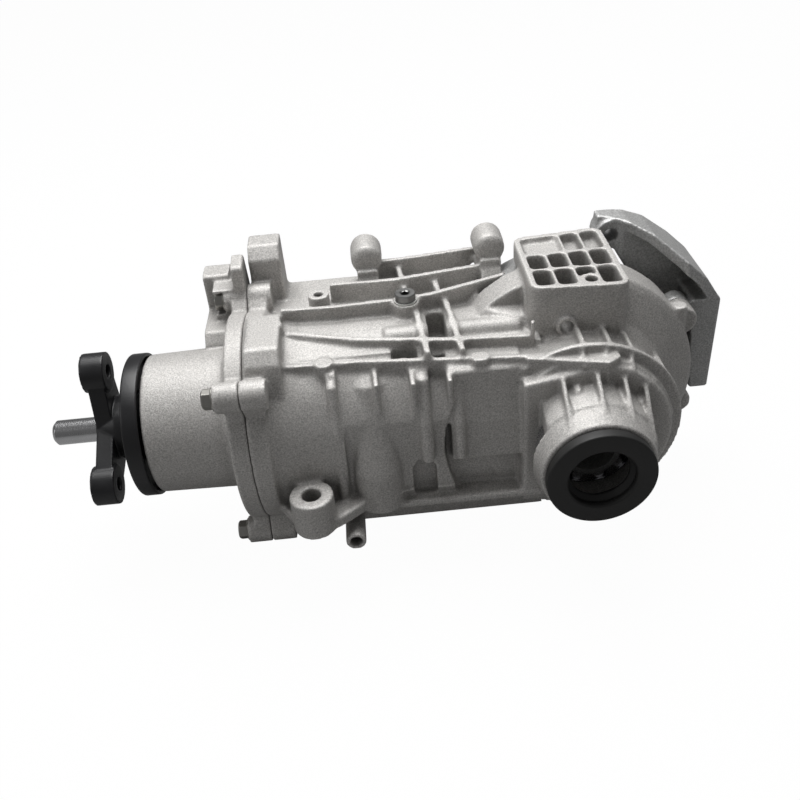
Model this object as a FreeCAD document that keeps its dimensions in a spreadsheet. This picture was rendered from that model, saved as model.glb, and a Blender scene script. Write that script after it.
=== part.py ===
# Rear differential of an all-wheel-drive car, with the clutch coupling in front of the pinion.
# Millimetres. The origin is the centre of the input flange's bolt circle on its front face.
# +X runs rearward along the input axis, +Z is up, and +Y is away from the near axle opening.
import FreeCAD, Part
import math
import os

import Sketcher
from FreeCAD import Placement, Rotation, Vector

doc = FreeCAD.newDocument("rear_differential")

# Driving dimensions: every length is millimetres and every angle is degrees.
SIZES = {
    # Input flange with its three lugs, and the pilot pin
    "lug_circle": 48,
    "lug_radius": 14.6,
    "lug_hole": 5.1,
    "lug_thickness": 17,
    "lug_turn": 84.3,
    "flange_hub": 24,
    "flange_hub_end": 44,
    "pin_radius": 9.45,
    "pin_tip": -34.5,
    "pin_depth": 12,
    "pin_seat": 11,
    "pin_chamfer": 2.5,
    # Dust shield
    "shield_front": 30.2,
    "shield_back": 42.4,
    "shield_radius": 54.2,
    "shield_wall": 3.2,
    # Coupling cover
    "cover_front": 44,
    "cover_nose": 52.3,
    "cover_rear_radius": 53.6,
    "cover_wall": 4.6,
    "cover_flare": 103,
    "cover_joint": 122,
    "cover_flange": 13,
    "joint_radius": 78,
    "input_bearing_bore": 35,
    "input_bearing_width": 18,
    "input_seal_radius": 30,
    "input_seal_width": 9,
    # Clutch
    "shaft_radius": 17,
    "drum_front": 75,
    "drum_radius": 46.6,
    "drum_wall": 2.4,
    "drum_back": 127,
    "hub_front": 85,
    "hub_radius": 26.6,
    "hub_bore": 15,
    "plate_thickness": 1.8,
    "plate_gap": 0.6,
    "plate_count": 6,
    "plate_rim_gap": 1.4,
    "pressure_plate_thickness": 5,
    "piston_inner": 30,
    "piston_outer": 42,
    "piston_length": 12,
    "piston_gap": 3,
    "needle_width": 1.6,
    "actuator_back": 150,
    "bell_bore": 59,
    # Pinion and its bearings
    "nut_thickness": 11,
    "nut_radius": 24,
    "front_bearing": 164,
    "front_bearing_width": 23,
    "front_bearing_outer": 34,
    "front_bearing_bore": 17.5,
    "head_bearing": 244,
    "head_bearing_width": 25,
    "head_bearing_outer": 40,
    "head_bearing_bore": 21,
    "snout_radius": 46,
    "sleeve_wall": 3,
    "roller_radius": 4,
    "roller_slope": 12,
    "roller_gap": 0.08,
    # Ring gear and pinion gear
    "axle_x": 357,
    "ring_pitch": 78,
    "face_width": 25,
    "backlash": 0.32,
    "ring_back": 46,
    "ring_bore": 50,
    "ring_bolt_circle": 61,
    # Differential case and the gears inside it
    "case_radius": 45,
    "case_cavity": 35.5,
    "case_flange": 72,
    "case_flange_back": 55,
    "trunnion_radius": 20,
    "trunnion_bore": 16,
    "trunnion_shoulder": 60,
    "trunnion_end": 84,
    "side_pitch": 23.8,
    "side_face": 11,
    "side_bore": 13.4,
    "side_floor": 2.5,
    "side_floor_start": 13,
    "back_radius": 33.6,
    "washer_gap": 0.15,
    "spider_radius": 7.5,
    "lock_pin_radius": 2.5,
    "carrier_bearing_outer": 36,
    "carrier_bearing_width": 20,
    # Main case
    "bell_end": 160,
    "body_radius": 68,
    "body_end": 300,
    "deck_top": 80,
    "deck_floor": 64,
    "rail": 4.6,
    "barrel_radius": 96,
    "gear_room": 62,
    "barrel_step": 71,
    "barrel_neck": 64,
    "barrel_face": -58,
    "axle_boss": 43,
    "axle_boss_end": -106,
    "case_joint": 24,
    "core_near": -66,
    "core_far": 90,
    "core_bottom": -74,
    "core_end": 330,
    # Pad on top
    "pad_top": 100,
    "pad_front": 324,
    "pad_back": 392,
    "pad_wall": 5.2,
    "pad_rib": 3,
    "pad_depth": 30,
    "pad_middle_depth": 15,
    "pad_far_depth": 8,
    "pad_bare_depth": 4,
    "pad_near": -26,
    "pad_far": 53,
    "pad_splay": 6,
    "pad_corner": 9,
    "pad_hole": 4.2,
    # Axle seals
    "seal_face": -114.3,
    "seal_radius": 36.9,
    "seal_lip": 23.3,
    "seal_seat": 29,
    # Side cover
    "side_flange": 12,
    "side_shell": 87.5,
    "side_rim": 88.5,
    "side_wall": 5.5,
    "side_nose": 46,
    "side_end": 104,
    "side_bolt_circle": 98,
    "lobe_radius": 10.5,
    # Fasteners
    "bolt_circle": 88,
    "bolt_radius": 4,
    "bolt_head": 7.4,
    "bolt_head_height": 6.5,
    "bolt_seat": 4.5,
    "plug_x": 239.5,
    "plug_y": 12,
    "plug_radius": 6.9,
    "plug_socket": 3.2,
    "plug_washer": 8.6,
    # Mounting points
    "ear_x": 160,
    "ear_y": -84,
    "ear_z": -13,
    "ear_radius": 15.5,
    "ear_hole": 6.75,
    "ear_height": 30,
    "post_x": 214,
    "post_pitch": 94,
    "post_radius": 12,
    "post_end": 82,
    "post_z": 90,
    "post_hole": 5.2,
}
BOLT_ANGLES = (56, 136, 237, 294, 352)
SIDE_BOLT_ANGLES = (-20, 25, 148, 212, 245, 290)
PINION_TEETH = 13
RING_TEETH = 33
SIDE_TEETH = 14
SPIDER_TEETH = 10
ROLLERS = 11
RING_BOLTS = 8


class Size:
    """A dimension that knows its number and the sheet formula that gives it."""

    def __init__(self, value, formula):
        self.value = value
        self.formula = formula

    def __add__(self, other):
        other = size(other)
        return Size(self.value + other.value, f"({self.formula} + {other.formula})")

    def __radd__(self, other):
        return size(other) + self

    def __sub__(self, other):
        other = size(other)
        return Size(self.value - other.value, f"({self.formula} - {other.formula})")

    def __rsub__(self, other):
        return size(other) - self

    def __mul__(self, other):
        other = size(other)
        return Size(self.value * other.value, f"({self.formula} * {other.formula})")

    def __rmul__(self, other):
        return size(other) * self

    def __truediv__(self, other):
        other = size(other)
        return Size(self.value / other.value, f"({self.formula} / {other.formula})")

    def __neg__(self):
        return size(0) - self


def size(number):
    """The same dimension, or a plain number made into one."""
    if isinstance(number, Size):
        return number
    return Size(float(number), repr(float(number)))


sheet = doc.addObject("Spreadsheet::Sheet", "Sizes")
for row, (alias, number) in enumerate(SIZES.items(), start=1):
    sheet.set(f"A{row}", alias)
    sheet.set(f"B{row}", str(number))
    sheet.setAlias(f"B{row}", alias)
doc.recompute()


class Sheet:
    """Gives each named dimension of the sheet as a Size."""

    def __getattr__(self, alias):
        return Size(float(SIZES[alias]), f"Sizes.{alias}")


s = Sheet()
nodes = {}

TURN = {"x": Rotation(Vector(0, 1, 0), 90), "y": Rotation(Vector(1, 0, 0), -90), "z": Rotation()}
PLANE = {"x": "YZ_Plane", "y": "XZ_Plane", "z": "XY_Plane"}


def bind(thing, prop, value):
    """Ties a property to a formula of the sheet."""
    thing.setExpression(prop, size(value).formula)


def place(thing, x=0, y=0, z=0, rotation=None):
    """Ties a thing's position to three dimensions."""
    thing.Placement = Placement(Vector(), rotation or Rotation())
    for letter, value in (("x", x), ("y", y), ("z", z)):
        bind(thing, f"Placement.Base.{letter}", value)


def rod(name, axis, radius, start, end, across=(0, 0)):
    """Cylinder along an axis, its centre at the two other coordinates."""
    thing = doc.addObject("Part::Cylinder", name)
    bind(thing, "Radius", radius)
    bind(thing, "Height", end - start)
    spots = {"x": (start, *across), "y": (across[0], start, across[1]), "z": (*across, start)}
    place(thing, *spots[axis], rotation=TURN[axis])
    return thing


def block(name, low, high):
    """Box between two corners."""
    thing = doc.addObject("Part::Box", name)
    for prop, a, b in zip(("Length", "Width", "Height"), low, high):
        bind(thing, prop, b - size(a))
    place(thing, *low)
    return thing


def hexagon(name, axis, radius, start, length, across=(0, 0)):
    """Six-sided prism along an axis."""
    thing = doc.addObject("Part::Prism", name)
    thing.Polygon = 6
    bind(thing, "Circumradius", radius)
    bind(thing, "Height", length)
    spots = {"x": (start, *across), "y": (across[0], start, across[1]), "z": (*across, start)}
    place(thing, *spots[axis], rotation=TURN[axis])
    return thing


def draw(sketch, points):
    """Straight sides through the points, each point tied to its two formulas."""
    count = len(points)
    ends = [Vector(size(a).value, size(b).value, 0) for a, b in points]
    sides = [Part.LineSegment(ends[i], ends[(i + 1) % count]) for i in range(count)]
    sketch.addGeometry(sides, False)
    for i in range(count):
        sketch.addConstraint(Sketcher.Constraint("Coincident", i, 2, (i + 1) % count, 1))
    for i, point in enumerate(points):
        for kind, line, value in (("DistanceX", -2, point[0]), ("DistanceY", -1, point[1])):
            value = size(value)
            if abs(value.value) < 1e-9:
                sketch.addConstraint(Sketcher.Constraint("PointOnObject", i, 1, line))
            else:
                number = sketch.addConstraint(Sketcher.Constraint(kind, -1, 1, i, 1, value.value))
                sketch.setExpression(f"Constraints[{number}]", value.formula)


def sketched_body(name, role, points):
    """Body with one closed outline on an origin plane."""
    body = doc.addObject("PartDesign::Body", name)
    sketch = body.newObject("Sketcher::SketchObject", f"{name}_outline")
    plane = next(item for item in body.Origin.OriginFeatures if item.Role == role)
    sketch.AttachmentSupport = [(plane, "")]
    sketch.MapMode = "FlatFace"
    draw(sketch, points)
    return body, sketch


def turned(name, axis, points, centre_x=0):
    """Outline of (along, radius) points turned about the axis, X or Y."""
    if axis == "y":
        points = [(radius, along) for along, radius in points]
    body, sketch = sketched_body(name, "XY_Plane", points)
    turn = body.newObject("PartDesign::Revolution", f"{name}_turn")
    turn.Profile = sketch
    turn.ReferenceAxis = (sketch, ["H_Axis" if axis == "x" else "V_Axis"])
    turn.Angle = 360
    bind(body, "Placement.Base.x", centre_x)
    return body


def prism(name, axis, points, start, end, corner=None):
    """Outline padded along an axis from start to end, its long edges rounded by corner."""
    body, sketch = sketched_body(name, PLANE[axis], points)
    bind(sketch, "AttachmentOffset.Base.z", -size(start) if axis == "y" else start)
    pad = body.newObject("PartDesign::Pad", f"{name}_pad")
    pad.Profile = sketch
    pad.Reversed = axis == "y"
    bind(pad, "Length", size(end) - start)
    if corner is not None:
        doc.recompute()
        along = {"x": Vector(1, 0, 0), "y": Vector(0, 1, 0), "z": Vector(0, 0, 1)}[axis]
        edges = [f"Edge{i}" for i, edge in enumerate(pad.Shape.Edges, start=1)
                 if abs(edge.tangentAt(edge.FirstParameter).dot(along)) > 0.999]
        fillet = body.newObject("PartDesign::Fillet", f"{name}_corners")
        fillet.Base = (pad, edges)
        bind(fillet, "Radius", corner)
    return body


def ribbon(points, thickness):
    """Outline of a wall of even thickness along a line of points."""
    flat = [(size(a).value, size(b).value) for a, b in points]
    sides = []
    for i, here in enumerate(flat):
        before = flat[max(i - 1, 0)]
        after = flat[min(i + 1, len(flat) - 1)]
        first = math.atan2(here[1] - before[1], here[0] - before[0]) if i else None
        last = math.atan2(after[1] - here[1], after[0] - here[0]) if i + 1 < len(flat) else None
        first = last if first is None else first
        last = first if last is None else last
        middle = (first + last) / 2
        reach = 1 / math.cos((last - first) / 2)
        sides.append((-math.sin(middle) * reach / 2, math.cos(middle) * reach / 2))
    left = [(a + thickness * du, b + thickness * dv) for (a, b), (du, dv) in zip(points, sides)]
    right = [(a - thickness * du, b - thickness * dv) for (a, b), (du, dv) in zip(points, sides)]
    return left + right[::-1]


def fuse(name, parts):
    """One solid from parts that overlap or touch."""
    thing = doc.addObject("Part::MultiFuse", name)
    thing.Shapes = parts
    return thing


def cut(name, base, tools):
    """The base with the tools taken away."""
    thing = doc.addObject("Part::Cut", name)
    thing.Base = base
    thing.Tool = tools[0] if len(tools) == 1 else fuse(f"{name}_tools", tools)
    return thing


def group(name, parts):
    """Like pieces kept as separate solids."""
    thing = doc.addObject("Part::Compound", name)
    thing.Links = parts
    return thing


def keep(name, thing):
    """Labels a finished sub-part, whose label names its file."""
    thing.Label = name
    nodes[name] = thing
    return thing


def around(radius, angle):
    """The two coordinates of a point on a circle."""
    turn = math.radians(angle)
    return (radius * math.cos(turn), radius * math.sin(turn))


# Input flange: forged hub with three lugs that bolt to the flexible disc of the prop shaft.
def input_flange():
    lug_angles = [SIZES["lug_turn"] + 120 * i for i in range(3)]
    parts = [turned("flange_hub_body", "x", [
        (2.5, s.pin_seat), (2.5, s.flange_hub - 4), (s.lug_thickness, s.flange_hub),
        (s.shield_front, s.flange_hub), (s.shield_front, s.input_seal_radius - 3.4),
        (s.flange_hub_end, s.input_seal_radius - 3.4), (s.flange_hub_end, s.shaft_radius),
        (s.pin_depth + 2, s.shaft_radius), (s.pin_depth + 2, s.pin_seat)])]
    holes = []
    for i, angle in enumerate(lug_angles):
        centre = around(s.lug_circle, angle)
        parts.append(rod(f"lug_{i}", "x", s.lug_radius, size(0), s.lug_thickness, centre))
        side = around(s.lug_radius - 2.2, angle + 90)
        wide = around(s.flange_hub - 5, angle + 90)
        arm = [(centre[0] + side[0], centre[1] + side[1]), (centre[0] - side[0], centre[1] - side[1]),
               (-wide[0], -wide[1]), (wide[0], wide[1])]
        parts.append(prism(f"lug_arm_{i}", "x", arm, size(3), s.lug_thickness - 1.5))
        holes.append(rod(f"lug_hole_{i}", "x", s.lug_hole, size(-1), s.lug_thickness + 1, centre))
    bore = rod("flange_bore", "x", s.pin_seat, size(-1), s.pin_depth + 3)
    seat = rod("flange_spline", "x", s.shaft_radius, s.pin_depth + 2, s.flange_hub_end + 1)
    keep("input_flange", cut("input_flange_cut", fuse("flange_forging", parts), holes + [bore, seat]))


def pilot_pin():
    keep("pilot_pin", turned("pilot_pin_body", "x", [
        (s.pin_tip, 0), (s.pin_tip, s.pin_radius - s.pin_chamfer),
        (s.pin_tip + s.pin_chamfer, s.pin_radius), (2.5, s.pin_radius), (2.5, s.pin_seat),
        (s.pin_depth, s.pin_seat), (s.pin_depth, 0)]))


# Dust shield: pressed cup that turns with the flange and covers the input seal.
def dust_shield():
    back = s.shield_back
    keep("dust_shield", turned("dust_shield_body", "x", [
        (s.shield_front, s.input_seal_radius - 3.4), (s.shield_front, s.shield_radius - 1.5),
        (s.shield_front + 1.5, s.shield_radius), (back, s.shield_radius),
        (back, s.shield_radius - s.shield_wall), (s.shield_front + s.shield_wall, s.shield_radius - s.shield_wall),
        (s.shield_front + s.shield_wall, s.input_seal_radius - 3.4)]))


def input_shaft():
    disc = s.drum_front
    keep("input_shaft", turned("input_shaft_body", "x", [
        (s.pin_depth + 2, 0), (s.pin_depth + 2, s.shaft_radius - 1), (s.pin_depth + 3, s.shaft_radius),
        (s.flange_hub_end, s.shaft_radius), (s.flange_hub_end, s.shaft_radius + 3),
        (disc, s.shaft_radius + 3), (disc, s.hub_radius), (disc + 3, s.hub_radius), (disc + 3, 8),
        (s.hub_front + 12, 8), (s.hub_front + 12, 0)]))


def input_bearing():
    start = s.cover_front + s.input_seal_width + 1
    end = start + s.input_bearing_width
    inner = s.shaft_radius + 3
    middle = (inner + s.input_bearing_bore) / 2
    raceway = s.roller_radius - 0.5
    keep("input_bearing_outer", turned("input_bearing_outer_body", "x", [
        (start, s.input_bearing_bore), (end, s.input_bearing_bore),
        (end, middle + raceway + s.roller_gap), (start, middle + raceway + s.roller_gap)]))
    keep("input_bearing_inner", turned("input_bearing_inner_body", "x", [
        (start, inner), (end, inner), (end, middle - raceway), (start, middle - raceway)]))
    rollers = [rod(f"input_roller_{i}", "x", raceway, start + 2, end - 2, around(middle, 360 * i / ROLLERS))
               for i in range(ROLLERS)]
    keep("input_bearing_rollers", group("input_bearing_rollers_group", rollers))


def input_seal():
    start = s.cover_front + 0.4
    end = start + s.input_seal_width - 1
    lip = s.input_seal_radius - 3.4 + 0.1
    keep("input_seal", turned("input_seal_body", "x", [
        (start, s.input_seal_radius), (end, s.input_seal_radius), (end, s.input_seal_radius - 1.2),
        (start + 2, s.input_seal_radius - 1.2), (start + 2, lip), (start, lip)]))


# Coupling cover: die-cast bell with a bolted flange and a pump housing on its upper side.
def coupling_cover():
    joint = s.cover_joint
    flange = joint - s.cover_flange
    seal_end = s.cover_front + s.input_seal_width
    bearing_end = seal_end + s.input_bearing_width + 1
    shell = turned("cover_shell", "x", [
        (s.cover_front, s.input_seal_radius), (s.cover_front, s.cover_nose - 1.5),
        (s.cover_front + 1.5, s.cover_nose), (s.cover_flare, s.cover_rear_radius),
        (flange - 1, s.cover_rear_radius + 4), (flange, s.joint_radius - 1), (flange + 1, s.joint_radius),
        (joint, s.joint_radius), (joint, s.bell_bore), (joint - 8, s.bell_bore),
        (s.cover_flare, s.cover_rear_radius - s.cover_wall),
        (bearing_end + 1, s.cover_nose - s.cover_wall), (bearing_end + 1, s.input_bearing_bore - 3),
        (bearing_end, s.input_bearing_bore - 3), (bearing_end, s.input_bearing_bore),
        (seal_end + 1, s.input_bearing_bore), (seal_end + 1, s.input_bearing_bore - 3),
        (seal_end, s.input_bearing_bore - 3), (seal_end, s.input_seal_radius)])
    parts = [shell]
    holes = []
    for i, angle in enumerate(BOLT_ANGLES):
        centre = around(s.bolt_circle, angle)
        parts.append(rod(f"cover_lobe_{i}", "x", s.lobe_radius, flange - s.bolt_seat, joint, centre))
        side = around(s.lobe_radius - 0.5, angle + 90)
        inner = around(s.joint_radius - 12, angle)
        wide = around(s.lobe_radius + 7, angle + 90)
        web = [(centre[0] + side[0], centre[1] + side[1]), (centre[0] - side[0], centre[1] - side[1]),
               (inner[0] - wide[0], inner[1] - wide[1]), (inner[0] + wide[0], inner[1] + wide[1])]
        parts.append(prism(f"cover_web_{i}", "x", web, flange + 1, joint))
        holes.append(rod(f"cover_hole_{i}", "x", s.bolt_radius + 0.3, flange - 10, joint + 1, centre))
        holes.append(rod(f"cover_spot_{i}", "x", s.lobe_radius - 0.6, flange - 20, flange - s.bolt_seat, centre))
    tower = [(16, 50), (26, 60), (61, 60), (61, 88), (82, 88), (84, 56), (56, 34)]
    parts.append(prism("pump_tower", "x", tower, size(88), size(108), corner=size(3)))
    neck = [(40, 50), (44, 84), (66, 84), (72, 50)]
    parts.append(prism("pump_neck", "x", neck, size(96), joint - 1))
    ear = [(44, 62), (42, 102), (64, 104), (72, 70)]
    parts.append(prism("cover_ear", "x", ear, joint - 9, joint, corner=size(4)))
    bore = rod("cover_clearance", "x", s.drum_radius + 1, bearing_end + 1, joint - 8)
    keep("coupling_cover", cut("coupling_cover_cut", fuse("cover_casting", parts), holes + [bore]))


def bolt(name, axis, centre, seat, tip, head_side):
    """Hex bolt with a flange under its head; head_side is -1 when the head faces the start."""
    flange_height = size(1.5)
    head_start = seat - flange_height - s.bolt_head_height if head_side < 0 else seat + flange_height
    flange_start = seat - flange_height if head_side < 0 else seat
    shank = (seat, tip) if head_side < 0 else (tip, seat)
    return fuse(name, [
        rod(f"{name}_shank", axis, s.bolt_radius, *shank, centre),
        rod(f"{name}_collar", axis, s.bolt_head + 1.2, flange_start, flange_start + flange_height, centre),
        hexagon(f"{name}_head", axis, s.bolt_head, head_start, s.bolt_head_height, centre)])


def cover_bolts():
    seat = s.cover_joint - s.cover_flange - s.bolt_seat
    bolts = [bolt(f"cover_bolt_{i}", "x", around(s.bolt_circle, angle), seat, s.cover_joint + 14, -1)
             for i, angle in enumerate(BOLT_ANGLES)]
    keep("cover_bolts", group("cover_bolts_group", bolts))


# Clutch pack: outer plates turn with the drum, inner plates with the hub on the pinion shaft.
def clutch():
    inner = s.drum_radius - s.drum_wall
    disc = s.drum_front
    keep("clutch_drum", turned("clutch_drum_body", "x", [
        (disc, s.hub_radius), (disc, s.drum_radius - 2), (disc + 2, s.drum_radius), (s.drum_back, s.drum_radius),
        (s.drum_back, inner), (disc + 3, inner), (disc + 3, s.hub_radius)]))
    hub_end = s.drum_back + 1
    keep("clutch_hub", turned("clutch_hub_body", "x", [
        (s.hub_front, s.hub_bore), (s.hub_front, s.hub_radius), (hub_end, s.hub_radius),
        (hub_end, s.hub_radius - 4), (s.hub_front + 8, s.hub_radius - 4), (s.hub_front + 8, s.hub_bore + 4),
        (hub_end, s.hub_bore + 4), (hub_end, s.hub_bore)]))
    pitch = (s.plate_thickness + s.plate_gap) * 2
    first = s.hub_front + 2
    outer_plates = []
    inner_plates = []
    for i in range(SIZES["plate_count"]):
        start = first + pitch * i
        end = start + s.plate_thickness
        outer_plates.append(turned(f"outer_plate_{i}", "x", [
            (start, inner), (end, inner), (end, s.hub_radius + s.plate_rim_gap),
            (start, s.hub_radius + s.plate_rim_gap)]))
        start = start + s.plate_thickness + s.plate_gap
        end = start + s.plate_thickness
        inner_plates.append(turned(f"inner_plate_{i}", "x", [
            (start, inner - s.plate_rim_gap), (end, inner - s.plate_rim_gap), (end, s.hub_radius),
            (start, s.hub_radius)]))
    keep("outer_plates", group("outer_plates_group", outer_plates))
    keep("inner_plates", group("inner_plates_group", inner_plates))
    start = first + pitch * SIZES["plate_count"]
    end = start + s.pressure_plate_thickness
    keep("pressure_plate", turned("pressure_plate_body", "x", [
        (start, inner), (end, inner), (end, s.hub_radius + s.plate_rim_gap),
        (start, s.hub_radius + s.plate_rim_gap)]))
    return end


# Actuator: ring piston in an annular cylinder that is seated in the bell of the main case.
def actuator(plate_end):
    start = plate_end + s.piston_gap
    end = start + s.piston_length
    keep("thrust_needles", turned("thrust_needles_body", "x", [
        (start - s.needle_width, s.piston_inner + 1), (start, s.piston_inner + 1),
        (start, s.piston_outer - 1), (start - s.needle_width, s.piston_outer - 1)]))
    keep("clutch_piston", turned("clutch_piston_body", "x", [
        (start, s.piston_inner), (start, s.piston_outer), (end, s.piston_outer), (end, s.piston_inner)]))
    front = s.drum_back + 5
    back = s.actuator_back
    keep("actuator_ring", turned("actuator_ring_body", "x", [
        (front, s.nut_radius), (front, s.piston_inner - 0.05), (end + 2, s.piston_inner - 0.05),
        (end + 2, s.piston_outer + 0.05), (front, s.piston_outer + 0.05), (front, s.drum_radius),
        (front + 5, s.bell_bore), (back, s.bell_bore), (back, s.nut_radius + 2)]))


def bearing(name, axis, start, width, bore, outer, slope_sign, centre_x=0):
    """Taper roller bearing; the rollers lean outwards towards the end when slope_sign is 1."""
    end = start + width
    slope = math.radians(SIZES["roller_slope"])
    middle = (bore + outer) / 2
    lean = math.tan(slope) * slope_sign
    lift = s.roller_radius / math.cos(slope)
    low = middle - width * (lean / 2)
    high = middle + width * (lean / 2)
    keep(f"{name}_cup", turned(f"{name}_cup_body", axis, [
        (start, outer), (end, outer), (end, high + lift + s.roller_gap), (start, low + lift + s.roller_gap)],
        centre_x))
    keep(f"{name}_cone", turned(f"{name}_cone_body", axis, [
        (start, bore), (end, bore), (end, high - lift), (start, low - lift)], centre_x))
    rollers = []
    length = width - 6
    for i in range(ROLLERS):
        angle = 360 * i / ROLLERS
        roller = doc.addObject("Part::Cylinder", f"{name}_roller_{i}")
        bind(roller, "Radius", s.roller_radius)
        bind(roller, "Height", length)
        tilt = Rotation(Vector(0, 1, 0), 90 - SIZES["roller_slope"] * slope_sign)
        spin = Rotation(Vector(1, 0, 0), -angle)
        turn = Rotation() if axis == "x" else Rotation(Vector(0, 0, 1), 90)
        rotation = turn * spin * tilt
        radial = turn.multVec(spin.multVec(Vector(0, 0, 1)))
        direction = rotation.multVec(Vector(0, 0, 1))
        along = Vector(1, 0, 0) if axis == "x" else Vector(0, 1, 0)
        foot = [start + width / 2 if abs(part) > 0.5 else size(0) for part in along]
        spot = [foot[k] + middle * radial[k] - length * (direction[k] / 2) for k in range(3)]
        spot[0] = spot[0] + centre_x
        place(roller, *spot, rotation=rotation)
        rollers.append(roller)
    keep(f"{name}_rollers", group(f"{name}_rollers_group", rollers))


def tooth_profile(virtual_teeth, module, gap):
    """Half tooth as (height above the pitch line, half width), from root to tip."""
    pressure = math.radians(22.5)
    pitch = virtual_teeth * module / 2
    base = pitch * math.cos(pressure)
    half_angle = math.pi / (2 * virtual_teeth) - gap * module / (2 * pitch)
    inv = math.tan(pressure) - pressure
    profile = []
    for height in (-1.12 * module, -0.45 * module, 0.3 * module, 0.82 * module):
        radius = pitch + height
        bend = math.acos(min(1.0, base / radius))
        angle = half_angle + inv - (math.tan(bend) - bend)
        profile.append((radius * math.cos(angle) - pitch, radius * math.sin(angle)))
    return profile


def bevel_teeth(teeth, mate_teeth, pitch, face, gap, first_angle):
    """Straight bevel teeth whose sides all run to the apex at the origin; the axis is +Z."""
    module = 2 * pitch / teeth
    cone = math.atan2(teeth, mate_teeth)
    outer = pitch / math.sin(cone)
    virtual = teeth / math.cos(cone)
    root_sink = 0.35 * module
    half = tooth_profile(virtual, module, gap)
    half = [(half[0][0] - root_sink, half[0][1])] + half
    ring = half + [(height, -width) for height, width in reversed(half)]
    along = Vector(math.sin(cone), 0, math.cos(cone))
    outward = Vector(math.cos(cone), 0, -math.sin(cone))
    shapes = []
    for shrink in (1.0, (outer - face) / outer):
        corners = [(along * outer + outward * height + Vector(0, width, 0)) * shrink for height, width in ring]
        shapes.append(Part.makePolygon(corners + [corners[0]]))
    tooth = Part.makeLoft(shapes, True, True)
    copies = []
    for i in range(teeth):
        copy = tooth.copy()
        copy.rotate(Vector(), Vector(0, 0, 1), first_angle + 360 * i / teeth)
        copies.append(copy)
    return copies, cone, outer, module


def gear_blank(cone, outer, face, module, back_points):
    """Solid of revolution under the teeth, closed by points (radius, height) behind them."""
    root = -1.12 * module
    along = (math.sin(cone), math.cos(cone))
    outward = (math.cos(cone), -math.sin(cone))
    large = (along[0] * outer + outward[0] * root, along[1] * outer + outward[1] * root)
    shrink = (outer - face) / outer
    small = (large[0] * shrink, large[1] * shrink)
    points = [small, large] + back_points
    corners = [Vector(radius, 0, height) for radius, height in points]
    face_shape = Part.Face(Part.makePolygon(corners + [corners[0]]))
    return face_shape.revolve(Vector(), Vector(0, 0, 1), 360)


def gear(name, shape, axis, x):
    """Gear kept as a sub-part, its cone apex on the axle line."""
    thing = doc.addObject("Part::Feature", name)
    thing.Shape = shape
    rotation = {"-x": Rotation(Vector(0, 1, 0), -90), "x": Rotation(Vector(0, 1, 0), 90),
                "y": Rotation(Vector(1, 0, 0), -90), "-y": Rotation(Vector(1, 0, 0), 90)}[axis]
    thing.Placement = Placement(Vector(x, 0, 0), rotation)
    return thing


def pinion():
    """Pinion shaft in one piece with its bevel gear."""
    x = SIZES["axle_x"]
    pitch = SIZES["ring_pitch"] * PINION_TEETH / RING_TEETH
    copies, cone, outer, module = bevel_teeth(
        PINION_TEETH, RING_TEETH, pitch, SIZES["face_width"], SIZES["backlash"], 90)
    seat_end = x - SIZES["head_bearing"] - SIZES["head_bearing_width"]
    large = outer * math.cos(cone) + 1.12 * module * math.sin(cone)
    bore = SIZES["head_bearing_bore"]
    blank = gear_blank(cone, outer, SIZES["face_width"], module, [
        (bore + 5, large + 3), (bore + 5, seat_end), (0, seat_end), (0, (outer - SIZES["face_width"]) * 0.93)])
    head = gear("pinion_gear", blank.fuse(copies), "-x", x)
    front = s.front_bearing
    spacer = s.head_bearing
    seat = s.head_bearing + s.head_bearing_width
    shaft = turned("pinion_shaft_body", "x", [
        (s.hub_front, 0), (s.hub_front, s.hub_bore - 1), (s.hub_front + 1, s.hub_bore),
        (front - s.nut_thickness, s.hub_bore), (front, s.hub_bore), (front, s.front_bearing_bore),
        (spacer - 8, s.front_bearing_bore), (spacer, s.head_bearing_bore), (seat, s.head_bearing_bore), (seat, 0)])
    socket = rod("pilot_bore", "x", size(8.4), s.hub_front - 1, s.hub_front + 14)
    shaft = cut("pinion_shaft_bored", shaft, [socket])
    keep("pinion_shaft", fuse("pinion_shaft_fused", [shaft, head]))
    nut = hexagon("pinion_nut_hex", "x", s.nut_radius - 1, front - s.nut_thickness, s.nut_thickness)
    bore = rod("pinion_nut_bore", "x", s.hub_bore, front - s.nut_thickness - 1, front + 1)
    keep("pinion_nut", cut("pinion_nut_cut", nut, [bore]))
    sleeve_start = front + s.front_bearing_width
    keep("crush_sleeve", turned("crush_sleeve_body", "x", [
        (sleeve_start, s.front_bearing_bore), (sleeve_start, s.front_bearing_bore + s.sleeve_wall),
        (sleeve_start + 12, s.front_bearing_bore + s.sleeve_wall),
        (sleeve_start + 24, s.front_bearing_bore + 2.4 * s.sleeve_wall),
        (sleeve_start + 36, s.front_bearing_bore + s.sleeve_wall),
        (spacer - 10, s.front_bearing_bore + s.sleeve_wall), (spacer - 10, s.front_bearing_bore)]))


def ring_gear():
    x = SIZES["axle_x"]
    copies, cone, outer, module = bevel_teeth(
        RING_TEETH, PINION_TEETH, SIZES["ring_pitch"], SIZES["face_width"], SIZES["backlash"], 180 + 180 / RING_TEETH)
    back = SIZES["ring_back"]
    rim = SIZES["ring_pitch"] + 1.5
    blank = gear_blank(cone, outer, SIZES["face_width"], module, [
        (rim, 40), (rim, back), (SIZES["ring_bore"], back), (SIZES["ring_bore"], 30)])
    shape = blank.fuse(copies)
    for i in range(RING_BOLTS):
        hole = Part.makeCylinder(SIZES["bolt_radius"] + 0.1, 14, Vector(SIZES["ring_bolt_circle"], 0, back - 12))
        hole.rotate(Vector(), Vector(0, 0, 1), 360 * i / RING_BOLTS)
        shape = shape.cut(hole)
    keep("ring_gear", gear("ring_gear_feature", shape, "y", x))


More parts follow.
